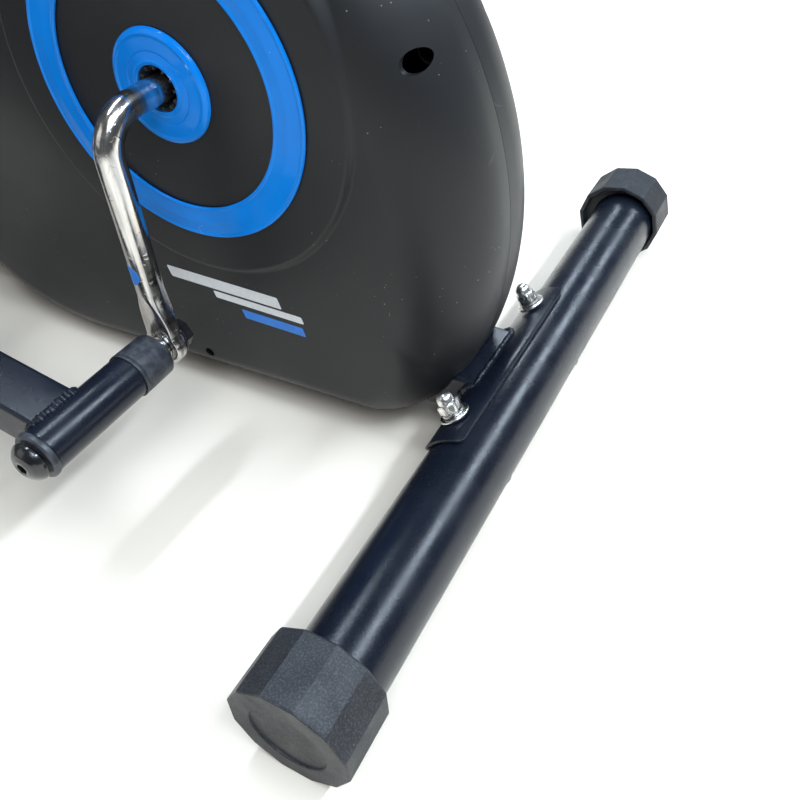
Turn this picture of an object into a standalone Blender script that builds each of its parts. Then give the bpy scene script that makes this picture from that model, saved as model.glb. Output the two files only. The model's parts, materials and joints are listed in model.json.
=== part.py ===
"""A rear-drive elliptical cross trainer, built from its separate pieces.

Run it in Blender 4.5.  Metres, +X forwards, +Y to the user's left, +Z up.  The origin is on the
floor under the middle of the machine.  It rests with the left crank arm hanging straight down.
"""
import math

import bmesh
import bpy
from mathutils import Matrix, Vector

# ---- Driving dimensions ----------------------------------------------------------------------
GAP = 0.0003                    # clearance between pieces that touch
THROUGH = 0.1000                # a long cutting tool reaches this far past its piece
PAST = 0.0100                   # a short cutting tool reaches this far past its piece
ACROSS = 0.3000                 # a bore through both sides of a piece, from the middle plane
UPRIGHT = (math.radians(90.0), 0, 0)  # stands a flat outline on its edge
WHEELBASE = 1.050               # rear to front stabiliser axis

STABILISER_RADIUS = 0.025
STABILISER_WALL = 0.0015
STABILISER_LENGTH = 0.5100
CAP_RADIUS = 0.0341             # corners of the twelve-sided end caps
CAP_LENGTH = 0.0365
CAP_BASE = 0.0040               # closed end of a cap
CAP_ECCENTRICITY = 0.0035       # the rear caps turn to level the machine
CAP_PHASE_LEFT = math.radians(45.0)
CAP_PHASE_RIGHT = math.radians(34.5)
CAP_SIDES = 12
CAP_RECESS = 0.0012             # depth and share of the radius of the recess in a cap's face
CAP_RECESS_SHARE = 0.62
REAR_CORNER = math.radians(4.5)  # the right cap's rearmost corner, off level
AXIS_Z = CAP_RADIUS * math.cos(math.pi / CAP_SIDES)

WHEEL_RADIUS = 0.0240
WHEEL_WIDTH = 0.0140
WHEEL_FORWARD = 0.0520          # transport wheel's axle ahead of the front stabiliser
WHEEL_Z = 0.0330
WHEEL_BORE = 0.0043
WHEEL_SLOT = 0.0015             # room around the wheel in its cap
WHEEL_SLACK = 0.0012            # room beside the wheel
LUG_START = 0.0290
LUG_THICKNESS = 0.0080
LUG_HALF = 0.0110
LUG_PAST_PIN = 0.0090
PIN_RADIUS = 0.0040
PIN_OVERLAP = 0.0020            # length of the pin inside its lug and its head
PIN_HEAD_RADIUS = 0.0075

KEEL_WIDTH = 0.0600
KEEL_HEIGHT = 0.0300
KEEL_TOP = 0.0560
KEEL_WALL = 0.0020
KEEL_INSET = 0.0120             # the tube's ends from the stabilisers' axes

SADDLE_LENGTH = 0.1650
SADDLE_THICKNESS = 0.0025
SADDLE_SPAN = (8.0, 90.0)       # degrees that the plate wraps, from level to straight up
SADDLE_CORNER = 0.0120
SADDLE_STEPS = 6
BOLT_SPACING = 0.1200
BOLT_ANGLE = math.radians(57.0)
BOLT_HOLE = 0.0045
BOLT_HOLE_REACH = 0.0500
DOME_PROFILE = ((0.0, 0.0180), (0.0036, 0.0168), (0.0056, 0.0138), (0.0060, 0.0095),
                (0.0040, 0.0095))  # radius, and height above the saddle
CARRIAGE_HEAD = ((0.0040, 0.0), (0.0090, 0.0), (0.0075, -0.0028), (0.0, -0.0038))
BOLT_STACK = (("_washer", 0.0020, 0.0038, 0.0098, 12),  # low and high end, radius, sides
              ("_spring", 0.0030, 0.0062, 0.0068, 12),
              ("_hex", 0.0055, 0.0115, 0.0073, 6))

HUB_FORWARD = 0.1905            # crank axis ahead of the rear stabiliser
HUB_Z = 0.2362
CRANK_LENGTH = 0.1480
CRANK_ROD = 0.0080
CRANK_PLANE = 0.1080            # crank arm's centre from the middle of the machine
CRANK_BEND = 0.0220
EYE_RADIUS = 0.0130
EYE_HALF = 0.0050
BOLT_RADIUS = 0.0060
EYE_TRIM = (0.0200, 0.0140)     # half length and half height of the cutters that flatten an eye

SHELL_OUTER = 0.0255
SHELL_INNER = 0.0228
SHELL_SPAN = (-0.0400, 0.0180)
BEARING_RADIUS = 0.0225
BEARING_SPANS = {"left": (0.0060, 0.0200), "right": (0.0280, 0.0420)}
UPRIGHT_HALF = 0.0200
UPRIGHT_SPAN = (-0.0310, 0.0090)
UPRIGHT_DROP = 0.0240           # its top below the crank's axis
UPRIGHT_WALL = 0.0020
UPRIGHT_ROOF = 0.0030

COVER_CENTRE = (0.2620, 0.1570)  # centre of the casing's round back, from the rear axis
COVER_RADIUS = 0.2555
COVER_HALF = 0.0575
COVER_WALL = 0.0025
COVER_BOTTOM = 0.0150           # height of the casing's bottom edge below its centre
COVER_BOTTOM_SLOPE = math.radians(2.9)
COVER_FRONT_CORNER = 0.1700
COVER_REAR_CORNER = 0.0600
COVER_SOFT_EDGE = 0.0480        # rounding along the back
COVER_HARD_EDGE = 0.0160        # rounding along the bottom
COVER_STEPS = (7, 22, 5)        # along the front corner, the back and the rear corner
COVER_EDGE_STEPS = 3
DISC_FACE = 0.0600
DISC_RIM = ((0.0, 0.0600), (0.1180, 0.0600), (0.1245, 0.0562), (0.1275, 0.0455), (0.0, 0.0455))
CRANK_HOLE = 0.0200
CRANK_HOLE_SPAN = (0.0400, 0.0800)
CRANK_HOLE_SPIN = 0.1           # keeps the hole's corners off the disc's
TUNNEL_LENGTH = 0.7000
RING_INNER = 0.0743
RING_OUTER = 0.0946
HUB_DISC_RADIUS = 0.0335
HUB_DISC_BORE = 0.0135
TRIM_EDGE = 0.0010              # width of the slanted edge of both trims
RING_FLAT = 0.0060              # half width of the ring's flat top
RING_HEIGHT = 0.0022
RING_EDGE_HEIGHT = 0.0012
HUB_DISC_FLAT = 0.0080
HUB_DISC_HEIGHT = 0.0040
HUB_DISC_EDGE_HEIGHT = 0.0020

SLEEVE_RADIUS = 0.0140
SLEEVE_BORE = 0.0118
SLEEVE_START = 0.1285
SLEEVE_END = 0.2085
COLLAR_RADIUS = 0.0150
COLLAR_START = 0.1190
COLLAR_END = 0.1420
FLANGE_END = 0.2130
HEAD_RADIUS = 0.0123
HEAD_START = 0.2148
HEAD_END = 0.2222
HEAD_FLAT = 0.0040
HEAD_SHOULDER = (0.0085, 0.0018)
HEAD_RIM = 0.0016
HEAD_SOCKET = 0.0036
HEAD_SOCKET_DEPTH = 0.0040
CRANK_NUT_RADIUS = 0.0105
CRANK_NUT_HEIGHT = 0.0095
CRANK_BOLT_TIP = 0.0020
COLLAR_STEP = 0.0030
FLANGE_ROUND = (0.0008, 0.0010)
FLANGE_SPIGOT = 0.0150

BAR_WIDTH = 0.0310
BAR_HEIGHT = 0.0270
BAR_WALL = 0.0020
BAR_PLANE = 0.1873
BAR_DROP = 0.0025               # the bar's middle below the sleeve's
BAR_REAR_LENGTH = 0.1200        # from the crank eye to the bend
BAR_REAR_DIP = math.radians(9.0)  # the rear stub falls behind the line to the front pivot
BAR_OVERLAP = 0.0200            # the two stretches overlap before the mitre is cut
BAR_MITRE_HALF = 0.0005
BAR_MITRE_TOOL = 0.0500
BAR_BORE_SPAN = (0.1000, 0.2500)
BAR_HOLLOW_END = 0.0300
LINK_HOLE = 0.0053
VENT_RADIUS = 0.0030
VENT_DEPTH = 0.0300
VENT_FORWARD = 0.0600
LINK_LENGTH = 0.7200            # crank eye to front pivot
PLATE_START = 0.1350
PLATE_LENGTH = 0.2900
PLATE_WIDTH = 0.1380
PLATE_HEIGHT = 0.0120
PLATE_INNER = 0.1230
PLATE_POCKET = 0.0030
PLATE_CORNER = 0.0350
PLATE_RIM = 0.0060
LINK_HEAD = ((0.0, 0.0070), (0.0060, 0.0062), (0.0095, 0.0030), (0.0095, 0.0), (0.0050, 0.0))
LINK_SHANK = 0.0050
LINK_SPACER = 0.0100
LINK_SHORT = 0.0020             # the spacer ends this far from the swing arm's tube

SWING_FORWARD = 0.9050          # swing arms' pivot from the rear axis
SWING_Z = 0.8400
SWING_LENGTH = 0.5200
SWING_PLANE = 0.1460
SWING_TUBE = 0.0160
SWING_HUB = 0.0200
SWING_HUB_HALF = 0.0230
SWING_EYE = 0.0190
SWING_EYE_PROUD = 0.0005
SWING_WALL = 0.0022
SWING_HOLLOW_END = 0.0300
SWING_VENT = 0.0600             # its height above the foot, along the tube
AXLE_RADIUS = 0.0080
AXLE_HALF = 0.1700
AXLE_CAP = ((0.0, 0.0070), (0.0110, 0.0060), (0.0175, 0.0030), (0.0180, 0.0))

POST_LEAN = math.radians(5.0)
POST_RADIUS = 0.0270
POST_WALL = 0.0018
STUB_RADIUS = 0.0300
STUB_TOP = 0.4000
POST_BOTTOM = 0.2400
POST_TOP = 1.2600
POST_PAST = 0.0500              # cutting tools reach this far past the post's ends
STUB_SINK = 0.0300
CROSS_RADIUS = 0.0160
CROSS_HALF = 0.1180

BAR_FIXED_Z = 1.0900
BAR_FIXED_RADIUS = 0.0125
BAR_FIXED_WALL = 0.0016
BAR_FIXED_STANDOFF = 0.0060
BAR_FIXED_BEND = 0.0450
BAR_FIXED_HALF = ((0.0, 0.1200, 0.0), (-0.0600, 0.1850, 0.0250), (-0.2300, 0.1850, 0.0900))
CLAMP_LOW = (-0.0240, -0.0280, -0.0240)
CLAMP_HIGH = (0.0430, 0.0280, 0.0240)
FIXED_GRIP_LENGTH = 0.1250
FIXED_GRIP_ROUND = 0.0040
HANDLE_RADIUS = 0.0150
HANDLE_WALL = 0.0018
HANDLE_BEND = 0.0900
HANDLE_CORNERS = ((0.0, SWING_PLANE, SWING_HUB + GAP), (0.0, SWING_PLANE, 0.0900),
                  (-0.0350, 0.2250, 0.2350), (-0.1050, 0.2350, 0.4600), (-0.0850, 0.2350, 0.6900))
HANDLE_GRIP_LENGTH = 0.2100
HANDLE_GRIP_ROUND = 0.0050
GRIP_THICKNESS = 0.0040
GRIP_END = 0.0030               # foam past the end of the tube
GRIP_END_EDGE = 0.0010
GRIP_PLUG = 0.0015

CONSOLE_TILT = math.radians(35.0)
CONSOLE_SIZE = (0.1250, 0.1900, 0.0320)
CONSOLE_OFFSET = (-0.0200, 0, 0.0560)  # the top's middle from the post's top
CONSOLE_CORNER = 0.0200
CONSOLE_NECK = 0.0250
CONSOLE_NECK_LENGTH = 0.0500
SCREEN_LOW = (-0.0100, -0.0600, -0.0040)
SCREEN_HIGH = (0.0450, 0.0600, -0.0008)
CONSOLE_CUT = 0.0200            # height of the cutting tools above the console's top
BUTTON_AT = -0.0380
BUTTON_WELL = 0.0120
BUTTON_WELL_DEPTH = 0.0070
BUTTON_PROFILE = ((0, 0.0030), (0.0095, 0.0030), (0.0115, 0.0012), (0.0115, -0.0052), (0, -0.0052))
KNOB_Z = 0.9800
KNOB_SINK = 0.0030
KNOB_PROFILE = ((0, 0.0380), (0.0190, 0.0380), (0.0225, 0.0350), (0.0240, 0.0040), (0, 0.0040))

PULLEY_RADIUS = 0.1050
PULLEY_LOW = 0.0220
PULLEY_HIGH = 0.0340
PULLEY_WEB_HALF = 0.0015
PULLEY_HUB = 0.0220
PULLEY_RIM = 0.0080
FLYWHEEL_FORWARD = 0.3700
FLYWHEEL_Z = 0.1700
FLYWHEEL_RADIUS = 0.0950
FLYWHEEL_LOW = -0.0200
FLYWHEEL_BORE = 0.0063
FLYWHEEL_HUB = 0.0130
FLYWHEEL_RIM = 0.0220
FLYWHEEL_WEB = 0.0060           # depth of the web below the rim, on both faces
FLYWHEEL_HUB_PROUD = 0.0030
FLYWHEEL_AXLE = 0.0060
FLYWHEEL_AXLE_SPAN = (-0.0360, 0.0460)
FORK_OUTER = 0.0368
FORK_INNER = -0.0325
FORK_THICKNESS = 0.0030
FORK_HALF = 0.0250
FORK_BASE_FRONT = 0.0720
FORK_TOP = 0.0180
SMALL_PULLEY = 0.0180
BELT_THICKNESS = 0.0025
BELT_GAP = 0.0008               # keeps the belt's flat facets off the pulleys' corners
BELT_INSET = 0.0010             # from the pulleys' faces to the belt's edges
MAGNET_ARC_RADIUS = 0.0990
MAGNET_ARC_START = math.radians(-52.0)
MAGNET_ARC_END = math.radians(28.0)
MAGNET_MIDDLE = -0.0100         # middle of the magnets' bracket across the machine
MAGNET_THICKNESS = 0.0050
MAGNET_HALF = 0.0120
MAGNET_STEPS = 8
MAGNET_EYE_OUT = 0.0070         # the pin outside the bracket's inner arc
MAGNET_EYE = 0.0075
MAGNET_EYE_BORE = 0.0035
MAGNET_PIN = 0.0032
MAGNET_PIN_SPAN = (-0.0130, 0.0140)
STAND_HALF = 0.0060
STAND_SPAN = (0.0128, 0.0158)

SIDES = {"left": 1, "right": -1}

# ---- Places worked out from them -------------------------------------------------------------
REAR_REACH = CAP_RADIUS * math.cos(REAR_CORNER) - CAP_ECCENTRICITY
FRONT_REACH = WHEEL_FORWARD + WHEEL_RADIUS
REAR_X = -(WHEELBASE + FRONT_REACH - REAR_REACH) / 2
FRONT_X = REAR_X + WHEELBASE
HUB_X = REAR_X + HUB_FORWARD
SWING_X = REAR_X + SWING_FORWARD
FLYWHEEL_X = REAR_X + FLYWHEEL_FORWARD
POST_FOOT_X = SWING_X + (SWING_Z - KEEL_TOP) * math.tan(POST_LEAN)

EYE = {"left": Vector((HUB_X, 0, HUB_Z - CRANK_LENGTH)),
       "right": Vector((HUB_X, 0, HUB_Z + CRANK_LENGTH))}


def linkage(side):
    """The front pivot of one side at rest, where the arm's and the link's circles meet."""
    eye = EYE[side]
    top = Vector((SWING_X, 0, SWING_Z))
    between = top - eye
    distance = between.length
    along = (LINK_LENGTH ** 2 - SWING_LENGTH ** 2 + distance ** 2) / (2 * distance)
    away = math.sqrt(LINK_LENGTH ** 2 - along ** 2)
    direction = between.normalized()
    sideways = Vector((direction.z, 0, -direction.x))
    return eye + direction * along + sideways * away


def post_point(height):
    """A point on the leaning front post's centre line."""
    return Vector((POST_FOOT_X - (height - KEEL_TOP) * math.tan(POST_LEAN), 0, height))


# ---- A clean scene and its collections -------------------------------------------------------
for old in list(bpy.data.objects):
    bpy.data.objects.remove(old, do_unlink=True)


def new_collection(name):
    collection = bpy.data.collections.new(name)
    bpy.context.scene.collection.children.link(collection)
    return collection


PARTS = new_collection("elliptical_trainer")
CUTTERS = new_collection("cutters")


def material(name, colour, roughness, metallic=0.0):
    result = bpy.data.materials.new(name)
    result.use_nodes = True
    shader = result.node_tree.nodes["Principled BSDF"]
    shader.inputs["Base Color"].default_value = (*colour, 1.0)
    shader.inputs["Roughness"].default_value = roughness
    shader.inputs["Metallic"].default_value = metallic
    return result


BLACK_PAINT = material("black_paint", (0.012, 0.014, 0.018), 0.35)
COVER_PLASTIC = material("cover_plastic", (0.025, 0.026, 0.028), 0.5)
CAP_PLASTIC = material("cap_plastic", (0.030, 0.032, 0.036), 0.55)
BLUE_GLOSS = material("blue_gloss", (0.005, 0.20, 0.85), 0.15)
CHROME = material("chrome", (0.85, 0.84, 0.82), 0.12, 1.0)
ZINC = material("zinc", (0.70, 0.70, 0.70), 0.3, 1.0)
BLACK_STEEL = material("black_steel", (0.01, 0.01, 0.012), 0.25, 0.6)
IRON = material("cast_iron", (0.12, 0.12, 0.12), 0.55, 0.9)
RUBBER = material("rubber", (0.015, 0.015, 0.015), 0.8)
FOAM = material("foam", (0.02, 0.02, 0.022), 0.95)
SCREEN = material("screen", (0.35, 0.42, 0.36), 0.1)
BUTTON = material("button", (0.6, 0.03, 0.02), 0.35)


# ---- Modelling helpers -----------------------------------------------------------------------
def place(name, data, finish, location=(0, 0, 0), rotation=(0, 0, 0), collection=PARTS):
    """Put mesh or curve data in the scene as a named object with one material."""
    data.name = name
    if finish is not None:
        data.materials.append(finish)
    piece = bpy.data.objects.new(name, data)
    piece.location = location
    piece.rotation_euler = rotation
    collection.objects.link(piece)
    return piece


def smooth(mesh, angle=35.0):
    mesh.shade_smooth()
    mesh.set_sharp_from_angle(angle=math.radians(angle))


def finish_bmesh(shape, name, finish, location=(0, 0, 0), rotation=(0, 0, 0)):
    mesh = bpy.data.meshes.new(name)
    shape.to_mesh(mesh)
    shape.free()
    smooth(mesh)
    return place(name, mesh, finish, location, rotation)


def box(name, low, high, finish=None, rotation=(0, 0, 0), origin=(0, 0, 0)):
    """A box between two corners, given from the origin that it turns about."""
    low, high, origin = Vector(low), Vector(high), Vector(origin)
    shape = bmesh.new()
    size = high - low
    middle = (high + low) / 2
    placing = Matrix.Translation(middle) @ Matrix.Diagonal((*size, 1.0))
    bmesh.ops.create_cube(shape, size=1.0, matrix=placing)
    return finish_bmesh(shape, name, finish, origin, rotation)


def rod(name, start, end, radius, finish=None, segments=20, spin=0.0):
    """A solid round or many-sided bar between two points; spin turns its corners."""
    start, end = Vector(start), Vector(end)
    along = end - start
    turn = along.to_track_quat("Z", "Y").to_matrix().to_4x4()
    shape = bmesh.new()
    placing = Matrix.Translation(Vector((0, 0, along.length / 2))) @ Matrix.Rotation(spin, 4, "Z")
    bmesh.ops.create_cone(shape, cap_ends=True, segments=segments, radius1=radius, radius2=radius,
                          depth=along.length, matrix=turn @ placing)
    return finish_bmesh(shape, name, finish, start)


def turned(name, profile, finish=None, location=(0, 0, 0), rotation=(0, 0, 0), steps=24, closed=True):
    """A profile of (radius, height) points turned about local Z.

    A closed profile makes a ring.  An open one starts and ends on the axis.  It runs down its
    outer side, from the top to the bottom.
    """
    mesh = bpy.data.meshes.new(name)
    points = [(radius, 0.0, height) for radius, height in profile]
    edges = [(index, index + 1) for index in range(len(points) - 1)]
    if closed:
        edges.append((len(points) - 1, 0))
    mesh.from_pydata(points, edges, [])
    piece = place(name, mesh, finish, location, rotation)
    screw = piece.modifiers.new("turn", "SCREW")
    screw.axis = "Z"
    screw.angle = math.tau
    screw.steps = steps
    screw.render_steps = steps
    screw.use_merge_vertices = True
    screw.merge_threshold = 0.00001
    screw.use_smooth_shade = True
    return piece


def ring(name, outer, inner, low, high, finish=None, **options):
    """A plain ring or pipe between two heights."""
    profile = [(outer, high), (outer, low), (inner, low), (inner, high)]
    return turned(name, profile, finish, **options)


def clear_of(radius, steps):
    """The corner radius of a many-sided hole whose flats clear a round bar."""
    return (radius + GAP) / math.cos(math.pi / steps)


def sideways(side):
    """Rotation that points local Z out of the machine on one side."""
    return (math.radians(-90.0 * SIDES[side]), 0, 0)


def outline_plate(name, points, half_thickness, finish=None, location=(0, 0, 0), rotation=(0, 0, 0)):
    """A flat outline in local XY, with a thickness along local Z; inner loops are holes."""
    curve = bpy.data.curves.new(name, "CURVE")
    curve.dimensions = "2D"
    curve.fill_mode = "BOTH"
    curve.extrude = half_thickness
    for loop in points:
        spline = curve.splines.new("POLY")
        spline.points.add(len(loop) - 1)
        for point, (x, y) in zip(spline.points, loop):
            point.co = (x, y, 0, 1)
        spline.use_cyclic_u = True
    return place(name, curve, finish, location, rotation)


def bent_rod(name, points, radius, finish=None, location=(0, 0, 0), wall=None, sides=3):
    """A rod, or with a wall a tube, along a line of points."""
    curve = bpy.data.curves.new(name, "CURVE")
    curve.dimensions = "3D"
    curve.bevel_depth = radius
    curve.bevel_resolution = sides
    curve.use_fill_caps = wall is None
    spline = curve.splines.new("POLY")
    spline.points.add(len(points) - 1)
    for point, place_at in zip(spline.points, points):
        point.co = (*place_at, 1)
    piece = place(name, curve, finish, location)
    if wall is not None:
        solidify = piece.modifiers.new("wall", "SOLIDIFY")
        solidify.thickness = wall
        solidify.offset = -1.0
    return piece


def rounded_path(corners, radius, steps=4):
    """Points along a line of corners, with each inner corner turned into an arc."""
    corners = [Vector(corner) for corner in corners]
    path = [corners[0]]
    for before, corner, after in zip(corners, corners[1:], corners[2:]):
        back = (before - corner).normalized()
        ahead = (after - corner).normalized()
        half = back.angle(ahead) / 2
        reach = radius / math.tan(half)
        centre = corner + (back + ahead).normalized() * (radius / math.sin(half))
        first = corner + back * reach - centre
        last = corner + ahead * reach - centre
        turn = first.angle(last)
        for step in range(steps + 1):
            path.append(centre + Matrix.Rotation(turn * step / steps, 3, first.cross(last)) @ first)
    path.append(corners[-1])
    return path


def as_mesh(piece):
    """Replace a curve object by a welded mesh object, so that it can be cut or joined."""
    bpy.context.view_layer.update()
    graph = bpy.context.evaluated_depsgraph_get()
    name = piece.name
    mesh = bpy.data.meshes.new_from_object(piece.evaluated_get(graph))
    shape = bmesh.new()
    shape.from_mesh(mesh)
    bmesh.ops.remove_doubles(shape, verts=shape.verts, dist=0.00001)
    bmesh.ops.recalc_face_normals(shape, faces=shape.faces)
    shape.to_mesh(mesh)
    shape.free()
    place_at = piece.matrix_world.copy()
    collection = piece.users_collection[0]
    bpy.data.objects.remove(piece, do_unlink=True)
    result = bpy.data.objects.new(name, mesh)
    result.name = name
    result.matrix_world = place_at
    collection.objects.link(result)
    return result


def combine(piece, tool, operation):
    """Join a helper shape to a piece, or cut it away, and put the helper with the cutters."""
    for collection in tool.users_collection:
        collection.objects.unlink(tool)
    CUTTERS.objects.link(tool)
    tool.hide_render = True
    tool.display_type = "WIRE"
    boolean = piece.modifiers.new(tool.name, "BOOLEAN")
    boolean.operation = operation
    boolean.solver = "EXACT"
    boolean.object = tool
    return piece


def cut(piece, *tools):
    for tool in tools:
        combine(piece, tool, "DIFFERENCE")
    return piece


def join(piece, *tools):
    for tool in tools:
        combine(piece, tool, "UNION")
    return piece


def arc(centre, radius, start, end, steps):
    """Points on an arc in a plane, angles in radians."""
    turns = [start + (end - start) * step / steps for step in range(steps + 1)]
    return [(centre[0] + radius * math.cos(turn), centre[1] + radius * math.sin(turn)) for turn in turns]


def rounded_rectangle(low, high, radius, steps=3):
    (x0, y0), (x1, y1) = low, high
    quarter = math.pi / 2
    corners = [(x1 - radius, y1 - radius, 0), (x0 + radius, y1 - radius, 1),
               (x0 + radius, y0 + radius, 2), (x1 - radius, y0 + radius, 3)]
    points = []
    for x, y, turn in corners:
        points += arc((x, y), radius, turn * quarter, (turn + 1) * quarter, steps)
    return points


# ---- Frame -----------------------------------------------------------------------------------
def keel():
    """The rectangular tube along the middle of the machine, open at both ends."""
    half = KEEL_WIDTH / 2
    low = KEEL_TOP - KEEL_HEIGHT
    start = REAR_X + KEEL_INSET
    end = FRONT_X - KEEL_INSET
    piece = box("keel_tube", (start, -half, low), (end, half, KEEL_TOP), BLACK_PAINT)
    wall = KEEL_WALL
    hollow = box("keel_hollow", (start - THROUGH, -half + wall, low + wall),
                 (end + THROUGH, half - wall, KEEL_TOP - wall))
    reach = STABILISER_RADIUS + SADDLE_THICKNESS + 2 * GAP
    saddles = [rod("keel_notch_" + end_name, (x, -THROUGH, AXIS_Z), (x, THROUGH, AXIS_Z), reach, segments=40)
               for end_name, x in (("rear", REAR_X), ("front", FRONT_X))]
    return cut(piece, hollow, *saddles)


def saddle(name, x, forward):
    """The curved plate that clamps a stabiliser, its lower corners rounded, with two bolt holes."""
    inner = STABILISER_RADIUS + GAP
    outer = inner + SADDLE_THICKNESS
    start, end = (math.radians(angle) for angle in SADDLE_SPAN)
    section = arc((0, 0), outer, start, end, SADDLE_STEPS)
    section += arc((0, 0), inner, end, start, SADDLE_STEPS)
    section = [(forward * along, height) for along, height in section]
    piece = as_mesh(outline_plate(name, [section], SADDLE_LENGTH / 2, BLACK_PAINT,
                                  (x, 0, AXIS_Z), UPRIGHT))
    lower_edge = AXIS_Z + outer * math.sin(start)
    for side, sign in SIDES.items():
        edge = sign * SADDLE_LENGTH / 2
        inset = edge - sign * SADDLE_CORNER
        near, far = sorted((x, x + forward * 2 * outer))
        block = box(name + "_corner_" + side, (near, min(edge, inset), lower_edge - SADDLE_THICKNESS),
                    (far, max(edge, inset) + SADDLE_THICKNESS * (sign > 0), lower_edge + SADDLE_CORNER))
        post = rod(name + "_round_" + side, (near - SADDLE_CORNER, inset, lower_edge + SADDLE_CORNER),
                   (far + SADDLE_CORNER, inset, lower_edge + SADDLE_CORNER), SADDLE_CORNER, segments=16)
        cut(block, post)
        cut(piece, block, bolt_hole(name + "_hole_" + side, x, forward, sign))
    return piece


def bolt_line(x, forward, sign, reach):
    """A point along a stabiliser bolt, at some distance from the tube's axis."""
    return Vector((x + forward * reach * math.cos(BOLT_ANGLE), sign * BOLT_SPACING / 2,
                   AXIS_Z + reach * math.sin(BOLT_ANGLE)))


def bolt_hole(name, x, forward, sign):
    return rod(name, bolt_line(x, forward, sign, -BOLT_HOLE_REACH),
               bolt_line(x, forward, sign, BOLT_HOLE_REACH), BOLT_HOLE, segments=12)


def stabiliser(name, x, forward):
    """A steel tube across the floor, drilled for its two carriage bolts."""
    half = STABILISER_LENGTH / 2
    piece = ring(name, STABILISER_RADIUS, STABILISER_RADIUS - STABILISER_WALL, -half, half,
                 BLACK_PAINT, location=(x, 0, AXIS_Z), rotation=sideways("left"), steps=24)
    for side, sign in SIDES.items():
        cut(piece, bolt_hole(name + "_hole_" + side, x, forward, sign))
    return piece


def stabiliser_bolt(name, x, forward, sign):
    """A carriage bolt with its curved washer, spring washer and dome nut, as one tightened stack."""
    base = STABILISER_RADIUS + SADDLE_THICKNESS + 3 * GAP
    low = -STABILISER_RADIUS - GAP
    profile = [(radius, base + height) for radius, height in DOME_PROFILE]
    profile += [(radius, low + height) for radius, height in CARRIAGE_HEAD]
    direction = bolt_line(0, forward, 0, 1.0) - Vector((0, 0, AXIS_Z))
    turn = direction.to_track_quat("Z", "Y").to_euler()
    centre = Vector((x, sign * BOLT_SPACING / 2, AXIS_Z))
    piece = turned(name, profile, ZINC, centre, turn, steps=10, closed=False)
    for suffix, start, end, radius, sides in BOLT_STACK:
        join(piece, rod(name + suffix, centre + direction * (base + start),
                        centre + direction * (base + end), radius, segments=sides))
    return piece


def cap(name, x, side, phase, offset, finish=CAP_PLASTIC):
    """A twelve-sided cup over the end of a stabiliser, with a shallow recess in its face."""
    sign = SIDES[side]
    half = STABILISER_LENGTH / 2
    inner = sign * (half - CAP_LENGTH + CAP_BASE)
    outer = sign * (half + CAP_BASE)
    centre = Vector((x + offset[0], 0, AXIS_Z + offset[1]))
    start = centre + Vector((0, inner, 0))
    end = centre + Vector((0, outer, 0))
    shape = bmesh.new()
    turn = Matrix.Rotation(UPRIGHT[0], 4, "X") @ Matrix.Rotation(phase, 4, "Z")
    middle = Matrix.Translation(Vector((0, (inner + outer) / 2, 0)))
    bmesh.ops.create_cone(shape, cap_ends=True, segments=CAP_SIDES, radius1=CAP_RADIUS,
                          radius2=CAP_RADIUS, depth=abs(outer - inner), matrix=middle @ turn)
    piece = finish_bmesh(shape, name, finish, centre)
    floor = sign * (half + GAP)
    socket = rod(name + "_socket", (x, inner - sign * PAST, AXIS_Z), (x, floor, AXIS_Z),
                 STABILISER_RADIUS + 2 * GAP, segments=24)
    recess = rod(name + "_recess", end - Vector((0, sign * CAP_RECESS, 0)),
                 end + Vector((0, sign * PAST, 0)), CAP_RADIUS * CAP_RECESS_SHARE, segments=20)
    return cut(piece, socket, recess)


def rear_caps():
    """The rear caps turn about the tube.  Being off centre, they raise or lower their corner."""
    for side, phase in (("left", CAP_PHASE_LEFT), ("right", CAP_PHASE_RIGHT)):
        lowest = min(math.sin(phase + math.tau / CAP_SIDES * corner) for corner in range(CAP_SIDES))
        lift = -CAP_RADIUS * lowest - AXIS_Z
        along = math.sqrt(CAP_ECCENTRICITY ** 2 - lift ** 2)
        cap("rear_cap_" + side, REAR_X, side, phase, (along, lift))


def front_caps():
    """The front caps carry the transport wheels on lugs."""
    half = STABILISER_LENGTH / 2
    for side, sign in SIDES.items():
        piece = cap("front_cap_" + side, FRONT_X, side, CAP_PHASE_LEFT, (0.0, 0.0))
        low = sign * (half - CAP_LENGTH + CAP_BASE)
        high = low + sign * LUG_THICKNESS
        end = high + sign * (WHEEL_WIDTH + WHEEL_SLACK)
        slot = rod("front_slot_" + side, (FRONT_X + WHEEL_FORWARD, high, WHEEL_Z),
                   (FRONT_X + WHEEL_FORWARD, end, WHEEL_Z), WHEEL_RADIUS + WHEEL_SLOT, segments=24)
        cut(piece, slot)
        lug = box("front_lug_" + side, (FRONT_X + LUG_START, min(low, high), WHEEL_Z - LUG_HALF),
                  (FRONT_X + WHEEL_FORWARD + LUG_PAST_PIN, max(low, high), WHEEL_Z + LUG_HALF))
        pin = rod("front_pin_" + side,
                  (FRONT_X + WHEEL_FORWARD, high - sign * PIN_OVERLAP, WHEEL_Z),
                  (FRONT_X + WHEEL_FORWARD, high + sign * (WHEEL_WIDTH + PIN_OVERLAP), WHEEL_Z),
                  PIN_RADIUS, segments=12)
        head = rod("front_pin_head_" + side, (FRONT_X + WHEEL_FORWARD, end, WHEEL_Z),
                   (FRONT_X + WHEEL_FORWARD, end + sign * PIN_OVERLAP, WHEEL_Z),
                   PIN_HEAD_RADIUS, segments=12)
        join(piece, lug, pin, head)
        start = abs(high) + 2 * GAP
        ring("transport_wheel_" + side, WHEEL_RADIUS, WHEEL_BORE, start, abs(end) - 3 * GAP, CAP_PLASTIC,
             location=(FRONT_X + WHEEL_FORWARD, 0, WHEEL_Z), rotation=sideways(side), steps=24)


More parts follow.
